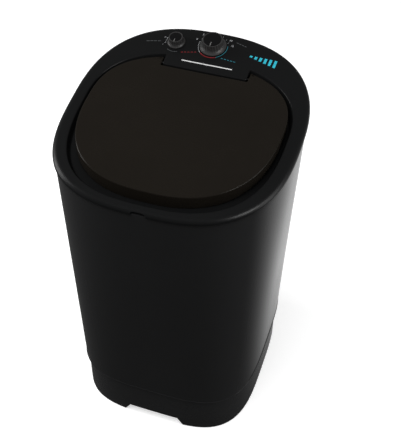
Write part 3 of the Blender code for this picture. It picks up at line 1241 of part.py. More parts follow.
def make_drain():
    """The drain pipe, from under the tub's floor down and back through the cabinet's rear wall."""
    x, y = drain_hole()
    wall = wall_at(cabinet_back(DRAIN_HEIGHT), DRAIN_X)
    top = TUB_FLOOR_HEIGHT - TUB_WALL - GAP
    points = [
        Vector((x, y, top - TUB_FLOOR_FALL)),
        Vector((x, y, (top + DRAIN_HEIGHT) / 2)),
        Vector((x, y, DRAIN_HEIGHT)),
        Vector((DRAIN_X, (y + wall) / 2, DRAIN_HEIGHT)),
        Vector((DRAIN_X, wall, DRAIN_HEIGHT)),
        Vector((DRAIN_X, wall + DRAIN_STUB, DRAIN_HEIGHT)),
    ]
    path = rounded_path(points, DRAIN_BEND)
    outer = pipe_loops(path, DRAIN_RADIUS)
    inner = pipe_loops(path, DRAIN_RADIUS - DRAIN_WALL)
    mesh = loft_mesh("drain_pipe", outer + inner[::-1], ring=True)
    link("drain_pipe", mesh, DARK_GREY)
    bore = DRAIN_RADIUS + DRAIN_CLEARANCE
    profile = [
        (bore, 0.0),
        (DRAIN_COLLAR_RADIUS, 0.0),
        (DRAIN_COLLAR_RADIUS, DRAIN_COLLAR_THICKNESS),
        (bore + DRAIN_WALL, 2 * DRAIN_COLLAR_THICKNESS),
        (bore, 2 * DRAIN_COLLAR_THICKNESS),
    ]
    mesh = turned_mesh("drain_collar", profile, ring=True, count=SMALL_COUNT)
    collar = link("drain_collar", mesh, RUBBER_BLACK)
    corners = cabinet_back(DRAIN_HEIGHT)
    reach = max(wall_at(corners, DRAIN_X + side * DRAIN_COLLAR_RADIUS) for side in (-1, 1))
    collar.matrix_world = along((0, 1, 0), (DRAIN_X, reach + CABINET_WALL / 2, DRAIN_HEIGHT))


def rounded_path(points, radius):
    """The points with each corner replaced by an arc that starts this far before it."""
    steps = 5
    path = [points[0]]
    for before, corner, after in zip(points, points[1:], points[2:]):
        first = (before - corner).normalized()
        second = (after - corner).normalized()
        if first.dot(second) < STRAIGHT:
            continue
        for i in range(steps + 1):
            share = i / steps
            path.append(corner + first * radius * (1 - share) ** 2 + second * radius * share ** 2)
    path.append(points[-1])
    return path


def pipe_loops(path, radius):
    """Circles along a path, each square to it and turned no more than the path turns."""
    loops = []
    side = Vector((1.0, 0.0, 0.0))
    for i, place in enumerate(path):
        tangent = (path[min(i + 1, len(path) - 1)] - path[max(i - 1, 0)]).normalized()
        side = (side - tangent * side.dot(tangent)).normalized()
        other = tangent.cross(side)
        loops.append([tuple(place + radius * (side * math.cos(math.tau * j / SMALL_COUNT)
                                              + other * math.sin(math.tau * j / SMALL_COUNT)))
                      for j in range(SMALL_COUNT)])
    return loops


def main():
    clear_scene()
    make_cabinet()
    make_plinth()
    make_pads()
    make_top_frame()
    make_lid()
    make_hinge_pins()
    make_control("timer", "timer_body", TIMER_X, TIMER_Y, TIMER_TOP_RADIUS, TIMER_BASE_RADIUS,
                 TIMER_HEIGHT, TIMER_BODY_HALF_SIDE, TIMER_BODY_DEPTH)
    make_control("selector", "selector_switch", SELECTOR_X, SELECTOR_Y, SELECTOR_TOP_RADIUS,
                 SELECTOR_BASE_RADIUS, SELECTOR_HEIGHT, SELECTOR_BODY_HALF_SIDE, SELECTOR_BODY_DEPTH)
    make_tub()
    make_pulsator()
    make_shaft_group()
    make_pulleys()
    make_belt()
    make_motor()
    make_filter()
    make_rear_cover()
    make_rear_fittings()


main()
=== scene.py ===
"""A top-loading washing machine with a smoked lid, dressed over its CAD frame."""

import math
from collections import namedtuple

import bpy
import numpy as np
from mathutils import Matrix


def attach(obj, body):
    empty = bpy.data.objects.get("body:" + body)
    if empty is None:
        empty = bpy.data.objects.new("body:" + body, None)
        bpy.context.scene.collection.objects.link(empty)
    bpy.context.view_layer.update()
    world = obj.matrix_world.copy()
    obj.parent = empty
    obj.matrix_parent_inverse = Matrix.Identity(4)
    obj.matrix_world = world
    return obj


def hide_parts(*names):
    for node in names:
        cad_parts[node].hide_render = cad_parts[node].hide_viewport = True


bl_info = {
    "name": "Top-loading washing machine",
    "version": (1, 0, 0),
    "blender": (4, 5, 0),
    "location": "3D view > Sidebar > Washer",
    "description": "Builds the visible surfaces and finishes of a top-loading washing machine",
    "category": "Object",
}

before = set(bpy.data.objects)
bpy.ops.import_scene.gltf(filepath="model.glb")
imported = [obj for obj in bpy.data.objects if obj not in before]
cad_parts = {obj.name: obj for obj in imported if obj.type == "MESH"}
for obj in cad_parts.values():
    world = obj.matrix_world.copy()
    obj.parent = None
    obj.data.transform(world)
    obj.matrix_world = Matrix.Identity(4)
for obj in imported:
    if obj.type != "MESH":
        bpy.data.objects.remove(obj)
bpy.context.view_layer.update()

Oval = namedtuple("Oval", "half front back front_power back_power centre")

RIM = Oval(0.310, 0.339, 0.299, 2.74, 2.54, 0.020)
LIP = Oval(0.2725, 0.314, 0.2015, 2.74, 2.45, 0.020)
MOUTH = Oval(0.238, 0.207, 0.190, 2.6, 2.6, -0.025)
LID = Oval(0.260, 0.286, 0.199, 2.5, 2.45, 0.020)
SEAM = Oval(0.272, 0.307, 0.291, 3.63, 3.63, 0.020)
SHOULDER = Oval(0.239, 0.208, 0.190, 2.6, 2.6, -0.025)
WELL = Oval(0.196, 0.190, 0.190, 2.2, 2.2, -0.025)

RIM_CURVE = (0.9351, 0.15909, 0.19113)  # height at y = 0, slope there, and half the curvature
LID_FRONT_Y = -0.266
LID_FRONT_TOP = 0.9375
LID_LENGTH = 0.485
LID_RISE = 0.0475
SKIRT_INSET = 0.0144
SKIRT_RISE = 0.0139
FRAME_WALL = 0.0035
SKIRT_RETURN = 0.0131
GUTTER_DEPTH = 0.0365
GUTTER_DRAFT = 0.006
DRIP_DROP = 0.012
BLOCK_HALF = 0.116
BLOCK_FRONT = 0.1754
BLOCK_DROP = 0.0012
NOTCH_HALF = 0.019
NOTCH_HEIGHT = 0.0085
NOTCH_DEPTH = 0.009
CABINET_INSET = 0.0040
CABINET_WALL = 0.0040
CABINET_RISE = 0.0005
PARTING_PLACE = (-0.0155, -0.0085)  # its x at the foot, and how far it runs aside up to the top
SEAM_HEIGHT = 0.144
SEAM_FLANGE = 0.016
SEAM_BEAD = 0.0012  # the cabinet's foot stands out by this in a fine bead
PLINTH_INSET = 0.006
PLINTH_WALL = 0.0045
PLINTH_BOTTOM = 0.003
PLINTH_DECK = 0.115
CUTOUT_BOTTOM = 0.093
CUTOUT_TOP = 0.0765
CUTOUT_HEIGHT = 0.031
BOSS_RADIUS = 0.030
FOOT_X = 0.190
FOOT_ROWS = (-0.185, 0.225)
LID_WALL = 0.003
LID_CUT_HALF = 0.1205
LID_CUT_FRONT = 0.1709
LID_SKIRT_REAR = 0.016
HINGE_Y = 0.184
HINGE_Z = 0.978372
PIN_RADIUS = 0.002
EAR_RADIUS = 0.004
EAR_WIDTH = 0.018
TUB_Y = -0.025
TUB_FLOOR = 0.360
TUB_SHOULDER = 0.855
TUB_SUMP = 0.006
TUB_WALL = 0.0035
TUB_LIP = 0.0025
TUB_ROUND = 0.035
GRATE_BOTTOM = 0.3585
GRATE_PITCH = 0.0042
DRAIN_HOLE = (-0.12152, 0.0928)
DRAIN_BORE = 0.0115
DRAIN_RADIUS = 0.0138
DRAIN_OPENING = 0.0148
DRAIN_EXIT = (-0.150, 0.215)
GLAND_PLACE = (0.165, 0.200)
GLAND_OPENING = 0.0088
PANEL_HALF = 0.110
PANEL_BOTTOM = 0.190
PANEL_TOP = 0.350
PANEL_LAP = 0.014
SCREW_INSET = 0.009
PULSATOR_BOTTOM = 0.364
PULSATOR_RADIUS = 0.140
PULSATOR_TOP = 0.058
VANE_HEIGHT = 0.030
FILTER_LOW = 0.560
FILTER_HIGH = 0.690
GAP = 0.0003
TAB_SPAN = 0.345
TAB_KNOTS = (0.0, 0.06, 0.16, 0.44, 0.60, 1.0)
TURN = 2 * math.pi
CORNERS = ("front_left", "front_right", "rear_left", "rear_right")

TIMER = {"place": (-0.003, 0.264), "base": 0.0365, "top": 0.0275, "height": 0.026}
SELECTOR = {"place": (-0.104, 0.254), "base": 0.0245, "top": 0.0195, "height": 0.0205}


def length_setting(name, note, default, low, high):
    return bpy.props.FloatProperty(name=name, description=note, default=default, min=low, max=high,
                                   subtype="DISTANCE", unit="LENGTH")


def colour_setting(name, note, default):
    return bpy.props.FloatVectorProperty(name=name, description=note, default=default, min=0.0,
                                         max=1.0, subtype="COLOR")


def power_setting(name, note, default):
    return bpy.props.FloatProperty(name=name, description=note, default=default, min=0.0, max=2000.0,
                                   unit="POWER")


def angle_setting(name, note, degrees):
    return bpy.props.FloatProperty(name=name, description=note, default=math.radians(degrees),
                                   subtype="ANGLE", unit="ROTATION")


class WasherSizes(bpy.types.PropertyGroup):
    """Sizes of the details that the solids leave out."""

    flute_depth: length_setting("Flute depth", "Depth of the grips' flutes", 0.0011, 0.0, 0.002)
    parting_depth: length_setting(
        "Parting line", "Depth of the cabinet's parting line", 0.00030, 0.0, 0.001)
    parting_width: length_setting(
        "Parting width", "Half width of the parting line", 0.0006, 0.0002, 0.002)
    tub_rib: length_setting(
        "Tub rib", "Height of the ribs moulded down the tub's wall", 0.0014, 0.0, 0.003)
    louvre_depth: length_setting(
        "Louvre depth", "How far the rear panel's louvres stand out", 0.0026, 0.0, 0.004)
    ink_lift: length_setting(
        "Ink thickness", "How far the printed marks stand above the deck", 0.00012, 0.00005, 0.0005)
    numeral_size: length_setting(
        "Numeral size", "Height setting of the dials' plain numbers", 0.0085, 0.003, 0.02)


class WasherColours(bpy.types.PropertyGroup):
    """Colours of the finishes."""

    cabinet: colour_setting("Cabinet", "Black of the cabinet and the plinth", (0.0200, 0.0202, 0.0206))
    moulding: colour_setting("Top frame", "Black of the top frame", (0.0060, 0.0062, 0.0064))
    lid: colour_setting("Lid", "Smoke brown of the lid", (0.0108, 0.0090, 0.0070))
    dial_side: colour_setting("Dial sides", "Satin grey of the dials' sides", (0.036, 0.035, 0.035))
    dial_face: colour_setting("Dial faces", "Near-black of the dials' faces", (0.004, 0.004, 0.0043))
    tub: colour_setting("Tub", "Grey of the tub and the pulsator", (0.200, 0.205, 0.212))
    pale_ink: colour_setting("Pale ink", "Pale grey marks", (0.42, 0.43, 0.44))
    warm_ink: colour_setting("Warm ink", "Dark red marks", (0.17, 0.014, 0.016))
    cool_ink: colour_setting("Cool ink", "Blue-green marks", (0.030, 0.44, 0.56))


class WasherStage(bpy.types.PropertyGroup):
    """The light and the camera."""

    lens: bpy.props.FloatProperty(
        name="Lens", description="Focal length", default=70.92, min=10.0, max=300.0,
        subtype="DISTANCE_CAMERA", unit="CAMERA")
    azimuth: angle_setting("Azimuth", "Angle of the camera round the machine", 18.84)
    elevation: angle_setting("Elevation", "Angle of the camera above the floor", 44.86)
    key_power: power_setting("Key light", "Power of the large light overhead", 75.0)
    side_power: power_setting("Side lights", "Power of the tall lights at the sides", 45.0)
    surround: bpy.props.FloatProperty(
        name="Surround", description="Brightness of the room", default=0.25, min=0.0, max=2.0)


def rim_height(y):
    """Height of the rim: a parabola through its front, middle and rear heights."""
    return RIM_CURVE[0] + RIM_CURVE[1] * y + RIM_CURVE[2] * y * y


def rim_slope(y):
    """The parabola's slope."""
    return RIM_CURVE[1] + 2 * RIM_CURVE[2] * y


def deck_height(y):
    return rim_height(y) + SKIRT_RISE


def lid_height(y):
    """Height of the lid's flat top, a straight slope from front to rear."""
    return LID_FRONT_TOP + (y - LID_FRONT_Y) / LID_LENGTH * LID_RISE


def gutter_height(y):
    return lid_height(y) - GUTTER_DEPTH


def above(surface, by):
    return lambda y: surface(y) + by


def inset(oval, by):
    """The squared oval with each of its reaches shorter by this."""
    return oval._replace(half=oval.half - by, front=oval.front - by, back=oval.back - by)


def quarter(half, reach, power, share):
    """Points of |x / half|^n + |y / reach|^n = 1 from +x round to +y, at shares of its length."""
    turn = np.linspace(0.0, math.pi / 2, 721)
    across, along = np.cos(turn), np.sin(turn)
    radius = (np.abs(across / half) ** power + np.abs(along / reach) ** power) ** (-1 / power)
    x, y = radius * across, radius * along
    run = np.concatenate([[0.0], np.cumsum(np.hypot(np.diff(x), np.diff(y)))])
    return np.interp(share * run[-1], run, x), np.interp(share * run[-1], run, y)


def outline(oval, u):
    """The squared oval at stations u: 0 at +x, 1 rear middle, 2 at -x, 3 front middle."""
    part, turn = np.modf(u)
    x, y = np.empty_like(u), np.empty_like(u)
    for side in range(4):
        here = turn.astype(int) % 4 == side
        share = part[here] if side % 2 == 0 else 1 - part[here]
        rear = side < 2
        reach, power = (oval.back, oval.back_power) if rear else (oval.front, oval.front_power)
        along, out = quarter(oval.half, reach, power, share)
        x[here] = along if side in (0, 3) else -along
        y[here] = oval.centre + (out if rear else -out)
    return np.column_stack([x, y])


def station_at(oval, x, rear):
    """The station where the front or rear of the oval passes x."""
    u = np.linspace(0.0, 2.0, 2001) if rear else np.linspace(2.0, 4.0 - 1e-9, 2001)
    across = outline(oval, u)[:, 0]
    return float(np.interp(x, across[::-1], u[::-1])) if rear else float(np.interp(x, across, u))


def bend(first, corner, last, t):
    """A parabolic bend from one point to another, drawn towards the corner, at shares t of it."""
    return (1 - t) ** 2 * first + 2 * t * (1 - t) * corner + t * t * last


def tabbed(oval, u, half, front, corner, fillet):
    """The oval with a straight-sided tab, or cut-out, round its rear middle. A side runs from the
    oval through a fillet, straight to the corner's arc, and then across at y = front."""
    points = outline(oval, u)
    share = 1 - np.abs(u - 1) / TAB_SPAN
    here = share > 0
    s = share[here]
    start = outline(oval, np.array([1 - TAB_SPAN]))[0]

    def rear_y(x):
        return oval.centre + oval.back * (1 - (x / oval.half) ** oval.back_power) ** (1 / oval.back_power)

    foot = np.array([half + fillet, rear_y(half + fillet)])
    tip = np.array([half, rear_y(half)])
    side = np.array([half, tip[1] - fillet])
    low = np.array([half, front + corner])
    legs = []
    for first, last in zip(TAB_KNOTS, TAB_KNOTS[1:]):
        legs.append(np.clip((s - first) / (last - first), 0, 1)[:, None])
    turn = legs[3] * math.pi / 2
    arc = np.hstack([half - corner + corner * np.cos(turn), front + corner - corner * np.sin(turn)])
    across = np.array([half - corner, front]) + np.array([corner - half, 0.0]) * legs[4]
    path = start + (foot - start) * legs[0]
    spans = (bend(foot, tip, side, legs[1]), side + (low - side) * legs[2], arc, across)
    for knot, span in zip(TAB_KNOTS[1:], spans):
        path = np.where(s[:, None] > knot, span, path)
    path[:, 0] *= np.where(u[here] <= 1, 1, -1)
    points[here] = path
    return points


def stations(*extra, tab=True, count=288):
    """Stations round an oval: even ones, close ones round the tab's bends, and the extra ones."""
    u = np.arange(count) * 4.0 / count
    if tab:
        u = u[np.abs(u - 1) >= TAB_SPAN]
        shares = np.concatenate([np.linspace(a, b, n, endpoint=False)
                                 for a, b, n in zip(TAB_KNOTS, TAB_KNOTS[1:], (2, 9, 7, 9, 16))])
        u = np.concatenate([u, 1 - TAB_SPAN * (1 - shares[1:]), 1 + TAB_SPAN * (1 - shares[1:]), [1.0]])
    u = np.sort(np.concatenate([u, *[np.atleast_1d(e) for e in extra]]))
    return u[np.concatenate([[True], np.diff(u) > 1e-5])]


def row(points, height):
    """Plan points at one height, or at a height worked out from their y."""
    z = height(points[:, 1]) if callable(height) else np.broadcast_to(height, len(points))
    return np.column_stack([points, z])


def unit(vectors):
    return vectors / np.maximum(np.linalg.norm(vectors, axis=-1, keepdims=True), 1e-9)


def softened(rows, radii, ring=True, steps=4):
    """Rows with each corner row turned into a parabolic bend that starts this far either side."""
    out = []
    for i, (corner, radius) in enumerate(zip(rows, radii)):
        inside = ring or 0 < i < len(rows) - 1
        if not inside or np.max(radius) <= 0:
            out.append(corner)
            continue
        first = corner + radius * unit(rows[i - 1] - corner)
        last = corner + radius * unit(rows[(i + 1) % len(rows)] - corner)
        out += [bend(first, corner, last, t) for t in np.linspace(0, 1, steps + 1)]
    return out


def pushed(points, by):
    """Plan points moved along their outline's outward normals."""
    along = np.roll(points, -1, 0) - np.roll(points, 1, 0)
    normal = unit(np.column_stack([along[:, 1], -along[:, 0]]))
    return points + normal * np.reshape(by, (-1, 1))


def quads(index, ring):
    """Four-sided faces between neighbouring rows of point numbers. Each row is a closed loop, and
    with ring the last row joins the first."""
    low = index if ring else index[:-1]
    high = np.roll(index, -1, 0) if ring else index[1:]
    return np.stack([low, np.roll(low, -1, 1), np.roll(high, -1, 1), high], -1).reshape(-1, 4).tolist()


def loft(rows, ring=False):
    """A closed part from rows of points, each a closed loop. Without ring its ends are capped."""
    grid = np.stack(rows)
    index = np.arange(grid.shape[0] * grid.shape[1]).reshape(grid.shape[:2])
    faces = quads(index, ring)
    if not ring:
        faces += [index[0][::-1].tolist(), index[-1].tolist()]
    return outward(grid.reshape(-1, 3), faces)


def outward(points, faces):
    """The part with its faces turned round if its signed volume is negative."""
    centre = points.mean(0)
    volume = 0.0
    for size in {len(face) for face in faces}:
        corners = points[np.array([face for face in faces if len(face) == size])] - centre
        for k in range(1, size - 1):
            volume += np.linalg.det(corners[:, (0, k, k + 1)]).sum()
    return points, faces if volume > 0 else [face[::-1] for face in faces]


def angles(count):
    return np.arange(count) * TURN / count


def circle(radius, z, turn):
    """Points of a circle at these angles. Its radius and its height may change with the angle."""
    across, along = radius * np.cos(turn), radius * np.sin(turn)
    return np.column_stack([across, along, np.broadcast_to(z, len(turn))])


def turned(profile, count=48, ring=False):
    """A profile of (radius, height) turned about Z. A radius of zero at an end is a pole."""
    profile = np.array(profile, float)
    turn = angles(count)
    first_pole, last_pole = profile[0, 0] == 0, profile[-1, 0] == 0
    body = profile[int(first_pole):len(profile) - int(last_pole)]
    points = np.vstack([circle(radius, z, turn) for radius, z in body])
    index = np.arange(len(points)).reshape(len(body), count)
    faces = quads(index, ring)
    for pole, edge, flip in ((first_pole, 0, True), (last_pole, -1, False)):
        if pole:
            points = np.vstack([points, [[0.0, 0.0, profile[edge, 1]]]])
            fan = np.column_stack([index[edge], np.roll(index[edge], -1),
                                   np.full(count, len(points) - 1)])
            faces += (fan[:, ::-1] if flip else fan).tolist()
    return outward(points, faces)


def rod(radius, low, high, count):
    return turned([(0, low), (radius, low), (radius, high), (0, high)], count)


def eased(profile, radius, steps=3):
    """A profile with its corners rounded by parabolic bends that stay under half of each leg."""
    profile = np.array(profile, float)
    out = [profile[0]]
    for before, corner, after in zip(profile, profile[1:], profile[2:]):
        legs = np.array([before - corner, after - corner])
        lengths = np.linalg.norm(legs, axis=1, keepdims=True)
        starts = corner + legs / lengths * np.minimum(radius, lengths * 0.45)
        t = np.linspace(0, 1, steps + 1)[:, None]
        out.extend(bend(starts[0], corner, starts[1], t))
    return out + [profile[-1]]


def block(low, high, round_by=0.0006):
    """A box with rounded corners, lofted along its longest side from a rounded rectangle."""
    low, high = np.array(low, float), np.array(high, float)
    long_axis = int(np.argmax(high - low))
    a, b = (long_axis + 1) % 3, (long_axis + 2) % 3
    turn = np.arange(4)[:, None] * math.pi / 2 + np.linspace(0, math.pi / 2, 4)
    signs_a, signs_b = np.sign(np.cos(turn.mean(1)))[:, None], np.sign(np.sin(turn.mean(1)))[:, None]
    rows = []
    for at, shrink in ((low, round_by), (low + round_by, 0.0), (high - round_by, 0.0), (high, round_by)):
        half_a, half_b = (high[a] - low[a]) / 2 - round_by, (high[b] - low[b]) / 2 - round_by
        reach = max(round_by - shrink, round_by * 0.3)
        loop = np.empty((16, 3))
        loop[:, a] = ((low[a] + high[a]) / 2 + signs_a * half_a + reach * np.cos(turn)).ravel()
        loop[:, b] = ((low[b] + high[b]) / 2 + signs_b * half_b + reach * np.sin(turn)).ravel()
        loop[:, long_axis] = at[long_axis]
        rows.append(loop)
    return loft(rows)


def placed(part, matrix):
    """The part moved by a matrix, its faces turned round where the matrix mirrors it."""
    return outward(part[0] @ matrix[:3, :3].T + matrix[:3, 3], part[1])


def shifted(part, by):
    return part[0] + np.array(by, float), part[1]


def axes(x, y, z, place):
    """A matrix whose columns are these axes, at this place."""
    matrix = np.eye(4)
    matrix[:3, 0], matrix[:3, 1], matrix[:3, 2], matrix[:3, 3] = x, y, z, place
    return matrix


def deck_frame(x, y, lift=0.0):
    """A frame on the deck at (x, y), with Z square to its surface."""
    lean = math.hypot(rim_slope(y), 1.0)
    z = np.array([0.0, -rim_slope(y), 1.0]) / lean
    across = np.array([0.0, 1.0, rim_slope(y)]) / lean
    return axes((1, 0, 0), across, z, np.array([x, y, deck_height(y)]) + lift * z)


def pin_frame(side, x):
    """A frame on the hinge's axis at x, with its Z outwards to this side."""
    return axes((0, 0, side), (0, 1, 0), (side, 0, 0), (x, HINGE_Y, HINGE_Z))


def joined(name, parts):
    """One object, in the scene, from closed parts."""
    points = np.vstack([part[0] for part in parts])
    faces, start = [], 0
    for part in parts:
        faces += [[start + i for i in face] for face in part[1]]
        start += len(part[0])
    mesh = bpy.data.meshes.new(name)
    mesh.from_pydata(points.tolist(), [], faces)
    obj = bpy.data.objects.new(name, mesh)
    bpy.context.scene.collection.objects.link(obj)
    return obj


def points_and_faces(mesh):
    points = np.empty(len(mesh.vertices) * 3)
    mesh.vertices.foreach_get("co", points)
    return points.reshape(-1, 3), [list(polygon.vertices) for polygon in mesh.polygons]


def piece(name, parts, look, body, replaces=(), sharp=38.0):
    """A finished piece from closed parts, with its place in its mesh."""
    obj = joined(name, parts)
    obj.data.validate()
    obj.data.shade_smooth()
    obj.data.set_sharp_from_angle(angle=math.radians(sharp))
    obj.data.materials.append(look)
    if replaces:
        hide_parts(*replaces)
    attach(obj, body)


def cut_part(part, cutters):
    """The part with the cutters taken out by an exact Boolean."""
    made = [joined("cut_from", [part]), joined("cutters", cutters)]
    modifier = made[0].modifiers.new("cut", "BOOLEAN")
    modifier.operation = "DIFFERENCE"
    modifier.solver = "EXACT"
    modifier.object = made[1]
    bpy.context.view_layer.update()
    evaluated = made[0].evaluated_get(bpy.context.evaluated_depsgraph_get())
    cut = points_and_faces(evaluated.to_mesh())
    evaluated.to_mesh_clear()
    for obj in made:
        bpy.data.objects.remove(obj)
    return cut


def sizes():
    return bpy.context.scene.washer_sizes


def colours():
    return bpy.context.scene.washer_colours


def add_node(tree, kind, values=(), **settings):
    """A node with its settings and then its inputs' values given."""
    node = tree.nodes.new(kind)
    for name, value in settings.items():
        setattr(node, name, value)
    for name, value in dict(values).items():
        node.inputs[name].default_value = value
    return node


def finish(name, colour, roughness, *, spread=0.05, metallic=0.0, grain=420.0, relief=0.00002,
           drift=0.15, drift_scale=3.0, specular=0.5, brushed=(1.0, 1.0, 1.0), pattern="noise"):
    """A material: fine grain in roughness and bump, and a slow drift of its colour. Brushed
    stretches the grain along one axis."""
    known = bpy.data.materials.get(name)
    if known:
        return known
    look = bpy.data.materials.new(name)
    look.use_nodes = True
    tree = look.node_tree
    link = tree.links.new
    shader = tree.nodes["Principled BSDF"]
    shader.inputs["Metallic"].default_value = metallic
    shader.inputs["Specular IOR Level"].default_value = specular
    place = add_node(tree, "ShaderNodeTexCoord")
    stretch = add_node(tree, "ShaderNodeMapping", {"Scale": brushed})
    link(place.outputs["Object"], stretch.inputs["Vector"])
    if pattern == "cells":
        fine = add_node(tree, "ShaderNodeTexVoronoi", {"Scale": grain})
        height = fine.outputs["Distance"]
    else:
        fine = add_node(tree, "ShaderNodeTexNoise", {"Scale": grain, "Detail": 3.0})
        height = fine.outputs["Fac"]
    link(stretch.outputs["Vector"], fine.inputs["Vector"])
    slow = add_node(tree, "ShaderNodeTexNoise",
                    {"Scale": drift_scale, "Detail": 5.0, "Roughness": 0.62})
    link(place.outputs["Object"], slow.inputs["Vector"])
    base = np.array(colour[:3])
    darker, lighter = base * (1 - drift), np.minimum(base * (1 + drift), 1.0)
    blend = add_node(tree, "ShaderNodeMix", {"A": (*darker, 1.0), "B": (*lighter, 1.0)},
                     data_type="RGBA")
    link(slow.outputs["Fac"], blend.inputs["Factor"])
    link(blend.outputs["Result"], shader.inputs["Base Color"])
    both = add_node(tree, "ShaderNodeMath", {1: 0.4}, operation="MULTIPLY_ADD")
    link(height, both.inputs[0])
    link(slow.outputs["Fac"], both.inputs[2])
    rough = add_node(tree, "ShaderNodeMapRange",
                     {"From Min": 0.35, "From Max": 1.0, "To Min": max(roughness - spread, 0.02),
                      "To Max": min(roughness + spread, 1.0)})
    link(both.outputs["Value"], rough.inputs["Value"])
    link(rough.outputs["Result"], shader.inputs["Roughness"])
    bump = add_node(tree, "ShaderNodeBump", {"Distance": relief, "Strength": 1.0})
    link(height, bump.inputs["Height"])
    link(bump.outputs["Normal"], shader.inputs["Normal"])
    return look


def cabinet_finish():
    return finish("black_cabinet_lacquer", colours().cabinet, 0.15, spread=0.03, grain=650.0,
                  relief=0.000008, specular=0.06, drift=0.10)


def moulding_finish():
    return finish("black_moulding", colours().moulding, 0.32, spread=0.04, grain=900.0,
                  relief=0.000006, specular=0.12, drift=0.08)


def lid_finish():
    return finish("smoked_lid", colours().lid, 0.26, spread=0.05, grain=260.0, relief=0.000006,
                  specular=0.06, drift=0.14, drift_scale=5.0)


def satin_black():
    return finish("black_satin_plastic", (0.012, 0.012, 0.013), 0.42, spread=0.08, grain=1600.0,
                  relief=0.00003, specular=0.25)


def tub_finish():
    return finish("grey_tub_plastic", colours().tub, 0.38, spread=0.08, grain=1300.0,
                  relief=0.00002, specular=0.4, drift=0.06)


def rubber():
    return finish("black_rubber", (0.018, 0.018, 0.018), 0.80, spread=0.10, grain=1800.0,
                  relief=0.00005, specular=0.2, pattern="cells")


def steel():
    return finish("bright_steel", (0.55, 0.55, 0.56), 0.30, spread=0.10, metallic=1.0,
                  grain=900.0, relief=0.00001, brushed=(1.0, 1.0, 0.06), drift=0.05)


def make_cabinet():
    """Ruled wall from the rounded seam up to the rim's outline, with a fine bead at its foot, a
    vertical parting line d exp(-((x - line) / w)^2) deep, its inner wall and its flange."""
    quarter_length = 0.50
    u = stations(3 + np.arange(-0.0285, -0.0095, 0.00035) / quarter_length, tab=False)
    top = above(rim_height, CABINET_RISE)
    foot, head = outline(SEAM, u), outline(inset(RIM, CABINET_INSET), u)
    low, high = row(foot, SEAM_HEIGHT), row(head, top)
    wall = [row(pushed(foot, SEAM_BEAD), SEAM_HEIGHT + 3 * SEAM_BEAD),
            row(foot, SEAM_HEIGHT + 4 * SEAM_BEAD)]
    for share in (0.03, 0.12, 0.25, 0.4, 0.55, 0.7, 0.82, 0.92, 0.97):
        level = low + (high - low) * share
        line = PARTING_PLACE[0] + PARTING_PLACE[1] * share
        groove = np.exp(-(((level[:, 0] - line) / sizes().parting_width) ** 2))
        groove *= (level[:, 1] < 0) * min(1.0, (1 - share) / 0.08)
        level[:, :2] = pushed(level[:, :2], -sizes().parting_depth * groove)
        wall.append(level)
    flange_top = SEAM_HEIGHT + CABINET_WALL
    inner_top = outline(inset(RIM, CABINET_INSET + CABINET_WALL), u)
    rows = [row(outline(inset(SEAM, SEAM_FLANGE), u), flange_top),
            row(outline(inset(SEAM, SEAM_FLANGE), u), SEAM_HEIGHT), low, *wall, high,
            row(inner_top, top), row(outline(inset(SEAM, CABINET_WALL), u), flange_top)]
    radii = [0, 0, 0.003] + [0] * len(wall) + [0.0008, 0.0008, 0.002]
    part = loft(softened(rows, radii), ring=True)
    back = SEAM.centre + SEAM.back
    half, low_z, high_z = PANEL_HALF - PANEL_LAP, PANEL_BOTTOM + PANEL_LAP, PANEL_TOP - PANEL_LAP
    cutters = [block((-half, back - 0.05, low_z), (half, back + 0.03, high_z), 0.006),
               placed(rod(GLAND_OPENING, -0.03, 0.04, 32), rear_frame(*GLAND_PLACE)),
               placed(rod(DRAIN_OPENING, -0.03, 0.04, 40), rear_frame(*DRAIN_EXIT))]
    piece("cabinet_shell", [cut_part(part, cutters)], cabinet_finish(), "machine",
          ["cabinet"])


def rear_wall(heights, across):
    """Depth y of the cabinet's rear wall at each height and x, from its ruled surface."""
    u = np.linspace(0.0, 2.0, 401)
    low, high = outline(SEAM, u), outline(inset(RIM, CABINET_INSET), u)
    top = rim_height(high[:, 1]) + CABINET_RISE
    out = []
    for z in np.atleast_1d(heights):
        share = ((z - SEAM_HEIGHT) / (top - SEAM_HEIGHT))[:, None]
        at = low + (high - low) * share
        out.append(np.interp(across, at[::-1, 0], at[::-1, 1]))
    return np.array(out)


def rear_frame(x, z, lift=0.0):
    """A frame on the rear wall at (x, z), with its Z straight back."""
    y = float(rear_wall(z, np.array([x]))[0, 0])
    return axes((1, 0, 0), (0, 0, -1), (0, 1, 0), (x, y + lift, z))


def notch_height(x, y):
    """The finger notch's outline above the rim: H (1 - |x / w|^4)^(1/4) at the front."""
    inside = (np.abs(x) < NOTCH_HALF) & (y < 0)
    bow = np.clip(1 - np.abs(x / NOTCH_HALF) ** 4, 0, 1) ** 0.25
    return np.where(inside, NOTCH_HEIGHT * bow, 0.0)


